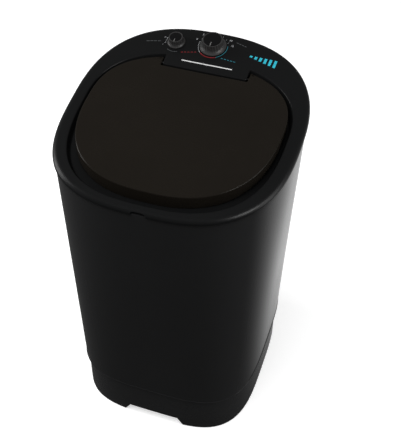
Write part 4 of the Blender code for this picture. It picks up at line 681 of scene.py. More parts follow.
def make_top_frame():
    """Skirt as a quarter ellipse over the rim, deck on the rim's parabola, rounded lip, gutter and
    drip edge. The lip turns forward round the hinge block, so that the deck is one surface."""
    quarter_length = 0.52
    notch_end = np.arange(0.0150, 0.0193, 0.00021)  # where the notch's outline is steep
    close = np.concatenate([np.arange(-0.0216, 0.0217, 0.0006), notch_end, -notch_end])
    u = stations(3 + close / quarter_length)
    weight = np.clip((1 - np.abs(u - 1) / TAB_SPAN) / 0.15, 0, 1)
    rim, crest = outline(RIM, u), outline(inset(RIM, SKIRT_INSET), u)
    notch = notch_height(rim[:, 0], rim[:, 1])
    start = np.arcsin(notch / SKIRT_RISE)
    skirt = []
    for share in np.linspace(0, 1, 11):
        angle = start + (math.pi / 2 - start) * share
        points = rim + (crest - rim) * (1 - np.cos(angle))[:, None]
        skirt.append(np.column_stack([points, rim_height(points[:, 1]) + SKIRT_RISE * np.sin(angle)]))

    def block_row(oval, height, grow=0.0, drop=False):
        points = tabbed(oval, u, BLOCK_HALF - grow, BLOCK_FRONT + grow, 0.005, 0.004)
        made = row(points, height)
        if drop:
            made[:, 2] -= weight * block_fall(points[:, 1])
        return made

    lip = block_row(LIP, deck_height, drop=True)
    deck = []
    for share in (0.2, 0.45, 0.7):
        level = skirt[-1] + (lip - skirt[-1]) * share
        lowered = deck_height(lip[:, 1]) - lip[:, 2]
        level[:, 2] = deck_height(level[:, 1]) - lowered * share ** 2
        deck.append(level)
    under_floor, under_deck = above(gutter_height, -FRAME_WALL), above(deck_height, -FRAME_WALL)
    mouth, outer_mouth = outline(MOUTH, u), outline(inset(MOUTH, -FRAME_WALL), u)
    drip = above(gutter_height, -DRIP_DROP)
    seat = above(rim_height, 0.0036)
    cut = np.clip(notch / 0.003, 0, 1)[:, None]
    depth = FRAME_WALL + (NOTCH_DEPTH - FRAME_WALL) * cut
    inward = (outline(inset(RIM, 0.01), u) - rim) / 0.01
    plan = rim + inward * depth
    wall_foot = inset(LIP, GUTTER_DRAFT)
    rows = skirt + deck + [
        lip,
        block_row(wall_foot, gutter_height),
        row(mouth, gutter_height), row(mouth, drip), row(outer_mouth, drip),
        row(outer_mouth, under_floor),
        block_row(inset(wall_foot, -FRAME_WALL), under_floor, FRAME_WALL),
        block_row(inset(LIP, -FRAME_WALL), under_deck, FRAME_WALL, drop=True),
        row(outline(inset(RIM, SKIRT_RETURN + 0.004), u), under_deck),
        row(outline(inset(RIM, SKIRT_RETURN), u), seat),
        row(plan, seat),
        np.column_stack([plan, rim_height(plan[:, 1]) + notch + 0.0001]),
    ]
    edge = 0.0006 + 0.0010 * cut
    bends = [0.003, 0.0045, 0.0016, 0.0010, 0.0010, 0.003, 0.002, 0.002, 0, 0, 0, 0]
    radii = [edge] + [0] * (len(skirt) + len(deck) - 1) + bends
    part = loft(softened(rows, radii), ring=True)
    shaft_hole = rod(0.0045, -0.012, 0.006, 24)
    cutters = [placed(shaft_hole, deck_frame(*dial["place"])) for dial in (TIMER, SELECTOR)]
    pin_hole = rod(PIN_RADIUS + GAP, -0.009, 0.009, 24)
    for side in (-1, 1):
        cutters.append(placed(pin_hole, axes((0, 0, 1), (0, 1, 0), (-1, 0, 0),
                                             (side * BLOCK_HALF, HINGE_Y, HINGE_Z))))
    piece("frame_moulding", [cut_part(part, cutters)], moulding_finish(), "machine",
          ["top_frame"])


def make_lid():
    """A shallow tray turned over: the lid's oval with a rounded edge, side walls whose depth falls
    in a straight line to the hinge, and a cut-out round the hinge block."""
    u = stations()

    def lid_row(by, height):
        points = tabbed(inset(LID, by), u, LID_CUT_HALF + by, LID_CUT_FRONT - by, 0.005, 0.005)
        return row(points, height)

    def foot(y):
        share = (y - LID_FRONT_Y) / (HINGE_Y - LID_FRONT_Y)
        return lid_height(y) - (GUTTER_DEPTH - GAP) - share * (LID_SKIRT_REAR - GUTTER_DEPTH + GAP)

    under = above(lid_height, -LID_WALL)
    rows = [lid_row(0.008, lid_height), lid_row(0.0, lid_height), lid_row(0.0, foot),
            lid_row(LID_WALL, foot), lid_row(LID_WALL, under), lid_row(0.009, under)]
    shell = loft(softened(rows, [0, 0.004, 0.001, 0.001, 0.002, 0], ring=False, steps=6))
    bore = PIN_RADIUS + 0.0005
    ear = turned(eased([(0, 0.0104), (bore, 0.0104), (bore, 0), (EAR_RADIUS, 0),
                        (EAR_RADIUS, EAR_WIDTH), (0, EAR_WIDTH)], 0.0006), 40)
    ears = [placed(ear, pin_frame(side, side * LID_CUT_HALF)) for side in (-1, 1)]
    piece("lid_shell", [shell] + ears, lid_finish(), "lid", ["lid"])
    ribs = []
    for y in (-0.15, -0.07, 0.01, 0.09):
        reach = 0.222 if y > -0.1 else 0.20
        ribs.append(rib_under_lid((-reach, y), (reach, y)))
    for x in (-0.11, 0.11):
        ribs.append(rib_under_lid((x, -0.20), (x, 0.14)))
    piece("lid_ribs", ribs, lid_finish(), "lid")


def rib_under_lid(start, end):
    """A low rib that follows the lid's underside between two plan points, its sides drafted and its
    ends lower."""
    start, end = np.array(start), np.array(end)
    run = unit(end - start)
    side = np.array([-run[1], run[0]])
    loops = []
    for share in (0.0, 0.02, 0.98, 1.0):
        middle = start + (end - start) * share
        deep = 0.0015 if share in (0.0, 1.0) else 0.0050
        ends = np.array([middle - side * 0.0011, middle + side * 0.0011,
                         middle + side * 0.0007, middle - side * 0.0007])
        z = lid_height(ends[:, 1]) - LID_WALL + np.array([0.0004, 0.0004, -deep, -deep])
        loops.append(np.column_stack([ends, z]))
    return loft(loops)


def make_hinge_pins():
    """Two turned pins with rounded ends, between the hinge block and the lid's ears."""
    start, end = 0.1107, 0.1306
    pin = turned(eased([(0, start), (PIN_RADIUS, start), (PIN_RADIUS, end), (0, end)], 0.0005), 28)
    look = finish("blackened_pin_steel", (0.045, 0.045, 0.046), 0.38, spread=0.08, metallic=0.9,
                  grain=900.0, relief=0.00001)
    for side, name in ((-1, "hinge_pin_left"), (1, "hinge_pin_right")):
        piece(name + "_turned", [placed(pin, pin_frame(side, 0))], look, "machine", [name])


def dial_rows(dial, count=144):
    """Rings of a dial: a flared collar, a fluted grip that leans in, then its underside. The flutes
    are d (0.5 - 0.5 cos 24a) deep and fade out over the collar."""
    base, top, height = dial["base"], dial["top"], dial["height"]
    collar = 0.30 * height
    waist = base + (top - base) * 0.88
    flute = sizes().flute_depth
    profile = [(top - 0.0030, height - 0.0007, 0.0), (top - 0.0018, height, 0.0),
               (top - 0.0006, height - 0.0005, 0.25), (top, height - 0.0020, 1.0),
               (top + (waist - top) * 0.35, height * 0.70, 1.0),
               (waist, collar * 1.25, 1.0), (waist + 0.0006, collar * 1.02, 0.55),
               (waist + (base - waist) * 0.28, collar * 0.72, 0.0),
               (waist + (base - waist) * 0.66, collar * 0.42, 0.0), (base - 0.0004, 0.0022, 0.0),
               (base, 0.0012, 0.0), (base - 0.0004, 0.0, 0.0), (base - 0.003, 0.0, 0.0),
               (waist - 0.0042, collar, 0.0), (top - 0.0042, height - 0.006, 0.0),
               (0.0058, height - 0.006, 0.0), (0.0058, 0.002, 0.0), (0.0033, 0.002, 0.0),
               (0.0033, 0.55 * height, 0.0)]
    turn = angles(count)
    wave = flute * (0.5 - 0.5 * np.cos(24 * turn))
    return [circle(radius - share * wave, z, turn) for radius, z, share in profile]


def make_dials():
    """Each dial's fluted side, a slightly crowned face with fine turned rings, and its pointer."""
    side_look = finish("satin_grey_dial", colours().dial_side, 0.40, spread=0.06, metallic=0.10,
                       grain=2200.0, relief=0.000012, specular=0.22)
    face_look = finish("dark_dial_face", colours().dial_face, 0.36, spread=0.05, grain=2400.0,
                       relief=0.00001, specular=0.12)
    for name, dial in (("timer", TIMER), ("selector", SELECTOR)):
        matrix = deck_frame(*dial["place"], 0.001)
        top, height = dial["top"], dial["height"]
        side = placed(loft(dial_rows(dial)), matrix)
        piece(name + "_dial", [side], side_look, name, [name + "_knob"])
        edge = top - 0.0034
        rings = [(0.0, height + 0.0004)]
        for share in np.linspace(0.12, 0.9, 12):
            crown = 0.0004 - 0.0006 * share ** 2
            groove = 0.00006 * (round(share * 100) % 2)
            rings.append((share * edge, height + crown + groove))
        rings += [(edge, height - 0.0005), (edge, height - 0.0030), (0, height - 0.0030)]
        face = placed(turned(rings, 96), matrix)
        piece(name + "_dial_face", [face], face_look, name)
        start, end = 0.38 * top, 0.88 * top
        line = block((-0.0009, -end, height - 0.0010), (0.0009, -start, height + 0.0009), 0.0003)
        piece(name + "_pointer", [placed(line, matrix)], ink("pale_pointer", (0.16, 0.16, 0.155)),
              name)


def ink(name, colour):
    return finish(name, colour, 0.45, spread=0.05, grain=1500.0, relief=0.00001, specular=0.3,
                  drift=0.05)


def strip(path, width):
    """A flat mark on the deck: a four-sided section carried along plan points, its ends capped."""
    path = np.array(path, float)
    along = unit(np.gradient(path, axis=0))
    side = np.column_stack([-along[:, 1], along[:, 0]]) * width / 2
    left, right = path + side, path - side
    lift = sizes().ink_lift
    corners = []
    for points, rise in ((left, lift), (right, lift), (right, -lift / 2), (left, -lift / 2)):
        corners.append(np.column_stack([points, deck_height(points[:, 1]) + rise - block_sink(points)]))
    return loft(np.stack(corners, 1))


def block_fall(y):
    """How far the deck falls under the rim's parabola over the hinge block: d s^2 (3 - 2 s)."""
    back = LIP.centre + LIP.back
    share = np.clip((back - y) / (back - BLOCK_FRONT), 0, 1)
    return BLOCK_DROP * share * share * (3 - 2 * share)


def block_sink(points):
    inside = np.abs(points[:, 0]) < BLOCK_HALF
    return np.where(inside, block_fall(points[:, 1]), 0.0)


def around(centre, radius, degrees):
    """Plan points at a radius and an angle from a centre. Either one may be an array."""
    turn = np.radians(degrees)
    return np.stack([centre[0] + radius * np.cos(turn), centre[1] + radius * np.sin(turn)], -1)


def arc_mark(centre, radius, first, last, width):
    count = max(3, int(abs(last - first) / 3))
    return strip(around(centre, radius, np.linspace(first, last, count)), width)


def tick(centre, inner, outer, angle, width):
    return strip(around(centre, np.array([inner, (inner + outer) / 2, outer]), angle), width)


def numeral(body, centre, size):
    """A plain number laid on the deck, from Blender's own font, extruded to the ink's thickness."""
    curve = bpy.data.curves.new("numeral", "FONT")
    curve.body = body
    curve.size = size
    curve.align_x = "CENTER"
    curve.align_y = "CENTER"
    curve.extrude = sizes().ink_lift
    curve.resolution_u = 4
    holder = bpy.data.objects.new("numeral", curve)
    bpy.context.scene.collection.objects.link(holder)
    mesh = bpy.data.meshes.new_from_object(holder)
    points, faces = points_and_faces(mesh)
    bpy.data.objects.remove(holder)
    bpy.data.meshes.remove(mesh)
    plan = points[:, :2] + np.array(centre)
    z = deck_height(plan[:, 1]) + points[:, 2] * 0.5 + sizes().ink_lift * 0.5
    return np.column_stack([plan, z]), faces


def dashes(start, step, count, length, width):
    """A row of short flat strokes that runs from the start, one step apart."""
    along = np.array(step) / np.linalg.norm(step) * length
    rows = []
    for k in range(count):
        first = np.array(start) + np.array(step) * k
        rows.append(strip([first, first + along / 2, first + along], width))
    return rows


def make_printing():
    """Plain generic marks: arcs, ticks and numbers round the dials, dashes, and graded bars."""
    middle, left = TIMER["place"], SELECTOR["place"]
    size = sizes().numeral_size
    ring = 0.0400
    pale = [arc_mark(middle, ring, 168, 226, 0.0009), arc_mark(left, 0.0290, 128, 196, 0.0006)]
    for angle in range(28, 156, 18):
        pale.append(tick(middle, ring - 0.0007, ring + 0.0020, angle, 0.0007))
    for number, angle in (("0", 163), ("5", 136), ("10", 38), ("15", 15)):
        x, y = around((0, middle[1]), ring + 0.0072, angle)
        pale.append(numeral(number, (middle[0] + x * 1.10, y), size))
    for angle in (130, 163, 196):
        pale.append(tick(left, 0.0300, 0.0326, angle, 0.0008))
    for number, angle in (("1", 205), ("2", 163)):
        pale.append(numeral(number, around(left, 0.0372, angle), size * 0.8))
    faint = [arc_mark(left, 0.0325, 240, 292, 0.0015),
             *dashes((-0.1850, 0.2400), (0.0100, 0.0024), 4, 0.0078, 0.0022),
             *dashes((0.0560, 0.2900), (0.0078, -0.0022), 4, 0.0058, 0.0020)]
    warm = [arc_mark(middle, ring, 226, 297, 0.0024),
            *dashes((-0.0810, 0.2240), (0.0086, 0.0021), 5, 0.0058, 0.0022)]
    teal = [arc_mark(middle, ring, 297, 372, 0.0014),
            *dashes((0.0300, 0.2290), (0.0088, -0.0009), 5, 0.0058, 0.0018)]
    cool = []
    for k in range(6):
        x, y = 0.1060 + 0.0136 * k, 0.2535 - 0.0022 * k
        reach = 0.0030 + 0.0018 * k
        cool.append(strip([(x, y - reach), (x + 0.0006, y), (x + 0.0012, y + reach)], 0.0072))
    bar = [strip([(-0.070, 0.1990), (0.0, 0.1990), (0.070, 0.1990)], 0.0032)]
    for name, marks, ink_name, colour in (
            ("pale_marks", pale, "pale_ink", colours().pale_ink),
            ("faint_marks", faint, "faint_ink", (0.060, 0.064, 0.066)),
            ("warm_marks", warm, "warm_ink", colours().warm_ink),
            ("teal_marks", teal, "teal_ink", (0.020, 0.170, 0.220)),
            ("cool_marks", cool, "cool_ink", colours().cool_ink),
            ("tab_line", bar, "soft_white_ink", (0.66, 0.66, 0.66))):
        piece(name, marks, ink(ink_name, colour), "machine", sharp=60)


def make_plinth():
    """Wall inset from the seam, whose foot follows a trapezoid cut-out at the front and the rear,
    with its deck, bosses and ribs, and the ringed rubber feet."""
    outer, inner = inset(SEAM, PLINTH_INSET), inset(SEAM, PLINTH_INSET + PLINTH_WALL)
    extra = []
    for rear in (False, True):
        for x in (CUTOUT_TOP, CUTOUT_BOTTOM):
            for side in (-1, 1):
                for nudge in (-0.0006, 0.0, 0.0006):
                    extra.append(station_at(outer, side * (x + nudge), rear))
        extra += [station_at(outer, x, rear) for x in np.linspace(-0.09, 0.09, 37)]
    u = stations(np.array(extra), tab=False, count=240)
    out, within = outline(outer, u), outline(inner, u)
    share = np.clip((CUTOUT_BOTTOM - np.abs(out[:, 0])) / (CUTOUT_BOTTOM - CUTOUT_TOP), 0, 1)
    foot = PLINTH_BOTTOM + (CUTOUT_HEIGHT - PLINTH_BOTTOM) * share
    under, top = PLINTH_DECK - PLINTH_WALL, SEAM_HEIGHT - GAP
    rows = [row(within, under), row(within, foot), row(out, foot), row(out, 0.075), row(out, top),
            row(within, top), row(within, PLINTH_DECK)]
    radii = [0, 0.001, 0.0018, 0, 0.0012, 0.001, 0]
    shell = loft(softened(rows, radii, ring=False))
    piece("plinth_shell", [shell], satin_plinth(), "machine", ["base_plinth"])
    socket, depth, boss_top = 0.0084, 0.017, 0.1108
    boss = turned(eased([(0, depth), (socket, depth), (socket, PLINTH_BOTTOM), (BOSS_RADIUS, PLINTH_BOTTOM),
                         (BOSS_RADIUS, boss_top), (0, boss_top)], 0.001), 48)
    places = [(side * FOOT_X, y, 0) for side in (-1, 1) for y in FOOT_ROWS]
    parts = [shifted(boss, place) for place in places]
    rib, rib_top = 0.0015, 0.1110
    for y in (-0.10, 0.02, 0.14):
        parts.append(block((-0.250, y - rib, 0.088), (0.250, y + rib, rib_top), 0.0007))
    for x in (-0.12, 0.0, 0.12):
        parts.append(block((x - rib, -0.270, 0.0905), (x + rib, 0.290, rib_top), 0.0007))
    piece("plinth_bosses_and_ribs", parts, satin_plinth(), "machine")
    pad = turned(eased([(0, 0.0012), (0.006, 0.0012), (0.0066, 0.0), (0.0120, 0.0), (0.0126, 0.0010),
                        (0.0154, 0.0010), (0.0160, 0.0), (0.0245, 0.0), (0.0260, 0.0015),
                        (0.0260, 0.0027), (0.008, 0.0027), (0.008, 0.012), (0, 0.012)], 0.0004), 56)
    piece("rubber_feet", [shifted(pad, place) for place in places], rubber(), "machine",
          ["foot_pad_" + corner for corner in CORNERS])


def satin_plinth():
    return finish("black_plinth_plastic", colours().cabinet, 0.26, spread=0.06, grain=900.0,
                  relief=0.000015, specular=0.15, drift=0.10)


def make_tub():
    """Upstand, wet deck, throat and a tapering wall with moulded ribs h (0.5 - 0.5 cos 36a)^3 high
    that fade at both ends, then a dished floor with its grate. The lip that lies on the cabinet's
    edge is dark and a piece of its own."""
    u = stations(tab=False)
    lip_low = above(rim_height, CABINET_RISE + GAP)
    lip_high = above(lip_low, TUB_LIP)
    deck = above(gutter_height, -FRAME_WALL - GAP)
    under = above(deck, -TUB_WALL)
    cabinet_top = inset(RIM, CABINET_INSET)
    face = inset(cabinet_top, 0.005)
    foot = inset(face, 0.0045)
    mouth = inset(MOUTH, -0.0055)

    def round_row(radius, z):
        return row(outline(Oval(radius, radius, radius, 2.0, 2.0, TUB_Y), u), z)

    def oval_row(oval, z):
        return row(outline(oval, u), z)

    head, tail = outline(SHOULDER, u), outline(WELL, u)
    wall = []
    for share in (0.06, 0.12, 0.2, 0.35, 0.5, 0.65, 0.8, 0.86):
        level = head + (tail - head) * share
        fade = min(1.0, share / 0.12, (0.9 - share) / 0.08)
        rib = sizes().tub_rib * fade * (0.5 - 0.5 * np.cos(36 * u * TURN / 4)) ** 3
        wall.append(row(pushed(level, -rib), TUB_SHOULDER + (TUB_FLOOR - TUB_SHOULDER) * share))
    seat = TUB_FLOOR - TUB_SUMP
    dish, hub, low = 0.071, 0.0205, -TUB_WALL
    inner = [oval_row(face, lip_high), oval_row(inset(face, TUB_WALL), lip_high),
             oval_row(inset(foot, TUB_WALL), deck), oval_row(mouth, deck), row(head, TUB_SHOULDER),
             *wall, row(tail, TUB_FLOOR), round_row(0.100, seat + 0.0009), round_row(dish, seat),
             round_row(hub, seat)]
    inner_radii = [0, 0.0012, 0.006, 0.004, 0.012] + [0] * len(wall) + [TUB_ROUND, 0, 0.003, 0.001]
    outer = [round_row(hub, seat + low), round_row(dish, seat + low),
             oval_row(inset(WELL, low), TUB_FLOOR + low),
             oval_row(inset(SHOULDER, low), TUB_SHOULDER + low), oval_row(inset(mouth, low), under),
             oval_row(foot, under), oval_row(face, lip_low)]
    outer_radii = [0, 0.003, TUB_ROUND, 0.012, 0.004, 0.004, 0]
    part = loft(softened(inner + outer, inner_radii + outer_radii, steps=5), ring=True)
    part = cut_part(part, [shifted(rod(DRAIN_BORE, 0.33, 0.39, 40), (*DRAIN_HOLE, 0))])
    piece("tub_liner", [part], tub_finish(), "machine", ["tub"])
    # Painted shade: this lip strip is black like the frame, not grey like the tub, so that the sliver of it
    # seen in the finger notch reads as shade.
    edge = inset(cabinet_top, GAP)
    lip = [oval_row(edge, lip_high), oval_row(face, lip_high), oval_row(face, lip_low),
           oval_row(edge, lip_low)]
    lip = loft(softened(lip, [0.0008, 0, 0, 0.0008], steps=5), ring=True)
    piece("tub_edge_painted_shade_strip", [lip], moulding_finish(), "machine")
    bottom = GRATE_BOTTOM
    ring = turned(eased([(0.0100, bottom), (0.0150, bottom), (0.0150, bottom + 0.0019),
                         (0.0100, bottom + 0.0023)], 0.0003), 48, ring=True)
    grate = [shifted(ring, (*DRAIN_HOLE, 0))]
    x, y = DRAIN_HOLE
    for k in range(-2, 3):
        bar = x + k * GRATE_PITCH
        reach = math.sqrt(0.0108 ** 2 - (k * GRATE_PITCH) ** 2) + 0.0002
        grate.append(block((bar - 0.0008, y - reach, bottom + 0.0003),
                           (bar + 0.0008, y + reach, bottom + 0.0017), 0.0004))
    piece("drain_grate", grate, tub_finish(), "machine")


def make_pulsator():
    """A disc that rises to a domed hub: z = rim + H exp(-(r / h)^2) + V swell(r) vane(a)^3, with
    four vanes and low ribs between them."""
    turn = angles(240)
    rim, hub, cap = PULSATOR_RADIUS, 0.024, 0.0143
    bore, bore_top, edge_round = 0.0103, 0.0303, 0.0015
    dome_reach, vane_start, low_rib_at, low_rib_reach = 0.042, 0.019, 0.095, 0.026
    wave = np.maximum(0.0, np.cos(4 * turn)) ** 3
    ripple = np.maximum(0.0, np.cos(32 * turn)) * (1 - wave)
    loops = [circle(radius, z, turn)
             for radius, z in ((bore, bore_top), (bore, 0.0), (rim - edge_round, 0.0), (rim, edge_round))]
    for share in np.linspace(0, 1, 56):
        radius = rim + share * (cap - rim)
        past = max(0.0, radius - vane_start) / (rim - vane_start)
        swell = math.sin(math.pi * min(1.0, past * 0.94)) ** 0.5 if past > 0 else 0.0
        edge = min(1.0, (rim - radius) / 0.004)
        dome = PULSATOR_TOP * (math.exp(-((radius / dome_reach) ** 2)) if share < 1 else 1.0)
        if radius < hub:
            dome += (PULSATOR_TOP - dome) * ((hub - radius) / (hub - cap)) ** 2
        low_rib = 0.0012 * math.exp(-(((radius - low_rib_at) / low_rib_reach) ** 2)) * ripple
        z = 0.0045 + 0.0015 * math.sqrt(edge) + dome + VANE_HEIGHT * swell * wave + low_rib
        loops.append(circle(radius, z, turn))
    loops.append(circle(cap, PULSATOR_TOP, turn))
    place = (0, TUB_Y, PULSATOR_BOTTOM)
    look = finish("pale_grey_pulsator", np.array(colours().tub) * 1.35, 0.34, spread=0.08,
                  grain=1300.0, relief=0.00002, specular=0.4)
    piece("pulsator_disc", [shifted(loft(loops), place)], look, "agitator", ["pulsator"])
    dome = turned(eased([(0, 0.0583), (0.0140, 0.0583), (0.0140, 0.0640), (0.0100, 0.0668),
                         (0.0088, 0.0664), (0.0082, 0.0668), (0, 0.0682)], 0.0006), 64)
    piece("pulsator_cap_dome", [shifted(dome, place)], satin_black(), "agitator",
          ["pulsator_cap"])


def make_lint_filter():
    """The holder on the tub's rear wall, and the lint filter: a rounded frame with ten slots and
    a fine net behind them."""
    edge, opening, y0, y1 = 0.048, 0.040, 0.1478, 0.1578
    wall, slack = 0.0030, 0.0005
    half, low = edge + slack + wall, FILTER_LOW - slack - wall
    front, back, high = y0 - slack - wall, y1 + slack + wall, low + 0.12
    parts = [block((-half, back - wall, low), (half, back, high), 0.0010),
             block((-half, front, low), (half, back - slack, low + wall), 0.0008),
             block((-half, front, low), (half, front + wall, low + 0.008), 0.0008)]
    for side in (-1, 1):
        for x, rear in ((half - wall, back - slack), (opening + wall, front + wall)):
            x0, x1 = sorted((side * half, side * x))
            parts.append(block((x0, front, low), (x1, rear, high), 0.0008))
    piece("filter_pocket", parts, tub_finish(), "machine", ["filter_holder"])
    bars = [block((-edge, y0, FILTER_LOW), (edge, y1, FILTER_LOW + 0.008), 0.0010),
            block((-edge, y0, FILTER_HIGH - 0.018), (edge, y1, FILTER_HIGH), 0.0020),
            block((-edge, y0, FILTER_LOW), (-opening, y1, FILTER_HIGH), 0.0010),
            block((opening, y0, FILTER_LOW), (edge, y1, FILTER_HIGH), 0.0010)]
    for k in range(1, 10):
        x = -opening + k * opening / 5
        bars.append(block((x - 0.0014, y0 + 0.001, FILTER_LOW + 0.006),
                          (x + 0.0014, y1 - 0.001, FILTER_HIGH - 0.016), 0.0006))
    for k in range(1, 26):
        z = FILTER_LOW + 0.008 + k * 0.0040
        bars.append(block((-0.041, y1 - 0.0022, z - 0.0003), (0.041, y1 - 0.0014, z + 0.0003), 0.0002))
    pale = finish("pale_filter_plastic", (0.58, 0.60, 0.61), 0.45, spread=0.06, grain=1500.0,
                  relief=0.00002, specular=0.4)
    piece("lint_filter_frame", bars, pale, "filter", ["lint_filter"])


def make_panel():
    """The service panel follows the rear wall, with a rounded edge and a raised bead inside it. Its
    louvres, in two banks, rise in a straight line over 8.6 mm and fall back in about 1 mm."""
    edge_round, bead_height, bead_inset, bead_width = 0.0022, 0.0007, 0.0075, 0.0016
    first_louvre, pitch, louvres = 0.226, 0.011, 8
    z = np.linspace(PANEL_BOTTOM, PANEL_TOP, 161)
    rim = PANEL_HALF - np.array([0.0, 0.0006, 0.0020])
    x = np.concatenate([-rim, np.linspace(-0.1055, 0.1055, 106), rim[::-1]])
    border = np.minimum((PANEL_HALF - np.abs(x))[None],
                        np.minimum(z - PANEL_BOTTOM, PANEL_TOP - z)[:, None])
    near = np.clip(border / edge_round, 0, 1)
    edge = np.sqrt(near * (2 - near))
    bead = bead_height * np.exp(-(((border - bead_inset) / bead_width) ** 2))
    bank = np.clip((0.088 - np.abs(x)) / 0.004, 0, 1) * np.clip((np.abs(x) - 0.008) / 0.004, 0, 1)
    at = (z - first_louvre) / pitch
    phase = at - np.floor(at)
    fall = np.where(phase > 0.88, np.clip((1 - phase) / 0.10, 0, 1), 1.0)
    hood = np.where(phase < 0.78, phase / 0.78, fall) * (at > 0) * (at < louvres)
    louvre = sizes().louvre_depth * (bank * (2 - bank))[None] * hood[:, None]
    outer_y = rear_wall(z, x) + GAP + 0.003 * (0.15 + 0.85 * edge) + louvre + bead
    flat_x = np.linspace(PANEL_HALF, -PANEL_HALF, 23)
    rows = []
    for height, depth in zip(z, outer_y):
        back = rear_wall(height, flat_x)[0] + GAP
        plan = np.vstack([np.column_stack([x, depth]), np.column_stack([flat_x, back])])
        rows.append(row(plan, height))
    piece("service_panel", [loft(rows)], satin_black(), "machine", ["service_cover"],
          sharp=30)


def make_rear_fittings():
    """Service panel, its screws, a ribbed cord gland, the drain's collar and its pipe, all on the
    cabinet's rear wall. The gland's ribs get smaller outwards."""
    make_panel()
    x, heights = PANEL_HALF - SCREW_INSET, (PANEL_BOTTOM + SCREW_INSET, PANEL_TOP - SCREW_INSET)
    screws = [placed(screw_part(0.0042), rear_frame(side * x, height, 0.0033))
              for side in (-1, 1) for height in heights]
    piece("panel_screws", screws, steel(), "machine")
    ribbed = [(0.0040, -0.0083), (0.0085, -0.0083), (0.0085, 0.0040), (0.0130, 0.0040), (0.0130, 0.0080)]
    for k in range(4):
        at, radius, groove = 0.0092 + 0.0026 * k, 0.0112 - 0.0013 * k, 0.0017
        ribbed += [(radius, at), (radius, at + 0.0010), (radius - groove, at + 0.0012),
                   (radius - groove, at + 0.0022)]
    ribbed += [(0.0058, 0.0200), (0.0040, 0.0200)]
    gland = turned(eased(ribbed, 0.0004, 2), 48, ring=True)
    piece("ribbed_cord_gland", [placed(gland, rear_frame(*GLAND_PLACE, -CABINET_WALL))], rubber(),
          "machine", ["cord_gland"])
    collar = [(DRAIN_OPENING, 0.0), (0.024, 0.0), (0.024, 0.0035), (0.0173, 0.007), (DRAIN_OPENING, 0.007)]
    collar = turned(eased(collar, 0.0007), 56, ring=True)
    piece("drain_grommet", [placed(collar, rear_frame(*DRAIN_EXIT, 0.0006))], rubber(), "machine",
          ["drain_collar"])
    make_drain()


def screw_part(radius, count=48, rings=12):
    """A domed screw head: z = h (1 - (r / R)^2), with a cross recess 0.9 mm deep."""
    turn = angles(count)
    loops = [circle(radius, -0.0002, turn)]
    for share in np.linspace(1, 0.08, rings):
        ring = circle(radius * share, 0.0004 + 0.0016 * (1 - share ** 2), turn)
        cross = (np.abs(ring[:, :2]).min(1) < 0.00055) & (share < 0.62)
        ring[:, 2] -= 0.0009 * cross
        loops.append(ring)
    return loft(loops)


def make_drain():
    """The drain pipe: a tube along a path with two parabolic bends, corrugated by 0.4 mm inside the
    cabinet and barbed on the stub outside it."""
    x, y = DRAIN_HOLE
    exit_x, exit_z = DRAIN_EXIT
    wall = float(rear_wall(exit_z, np.array([exit_x]))[0, 0])
    corners = np.array([(x, y, 0.3502), (x, y, exit_z), (exit_x, (y + wall) / 2, exit_z),
                        (exit_x, wall + 0.018, exit_z)])
    path, reach = [corners[0]], 0.034
    t = np.linspace(0, 1, 9)[:, None]
    for before, corner, after in zip(corners, corners[1:], corners[2:]):
        first, last = corner + reach * unit(before - corner), corner + reach * unit(after - corner)
        path.extend(bend(first, corner, last, t))
    path = np.array(path + [corners[-1]])
    run = np.concatenate([[0], np.cumsum(np.linalg.norm(np.diff(path, axis=0), axis=1))])
    at = np.linspace(0, run[-1], 260)
    path = np.column_stack([np.interp(at, run, path[:, k]) for k in range(3)])
    outside = path[:, 1] - wall
    inside = (outside < -0.012) & (at > 0.02)
    barb = np.where(outside > 0.006, np.mod(outside, 0.0042) / 0.0042 * 0.0009, 0.0)
    radius = DRAIN_RADIUS + 0.0004 * np.cos(at * TURN / 0.0055) * inside - barb * 0.8
    tangent = unit(np.gradient(path, axis=0))
    across = unit(np.cross(tangent, np.cross((1.0, 0.0, 0.0), tangent)))
    other = np.cross(tangent, across)
    turn = angles(40)[:, None]

    def tube(radii):
        ring = across[:, None] * np.cos(turn) + other[:, None] * np.sin(turn)
        return path[:, None] + radii[:, None, None] * ring

    outer, inner = tube(radius), tube(np.full(len(path), DRAIN_BORE))
    look = finish("dark_grey_hose", (0.055, 0.055, 0.058), 0.5, spread=0.08, grain=1400.0,
                  relief=0.00003)
    piece("drain_hose_stub", [loft([*outer, *inner[::-1]], ring=True)], look, "machine",
          ["drain_pipe"])


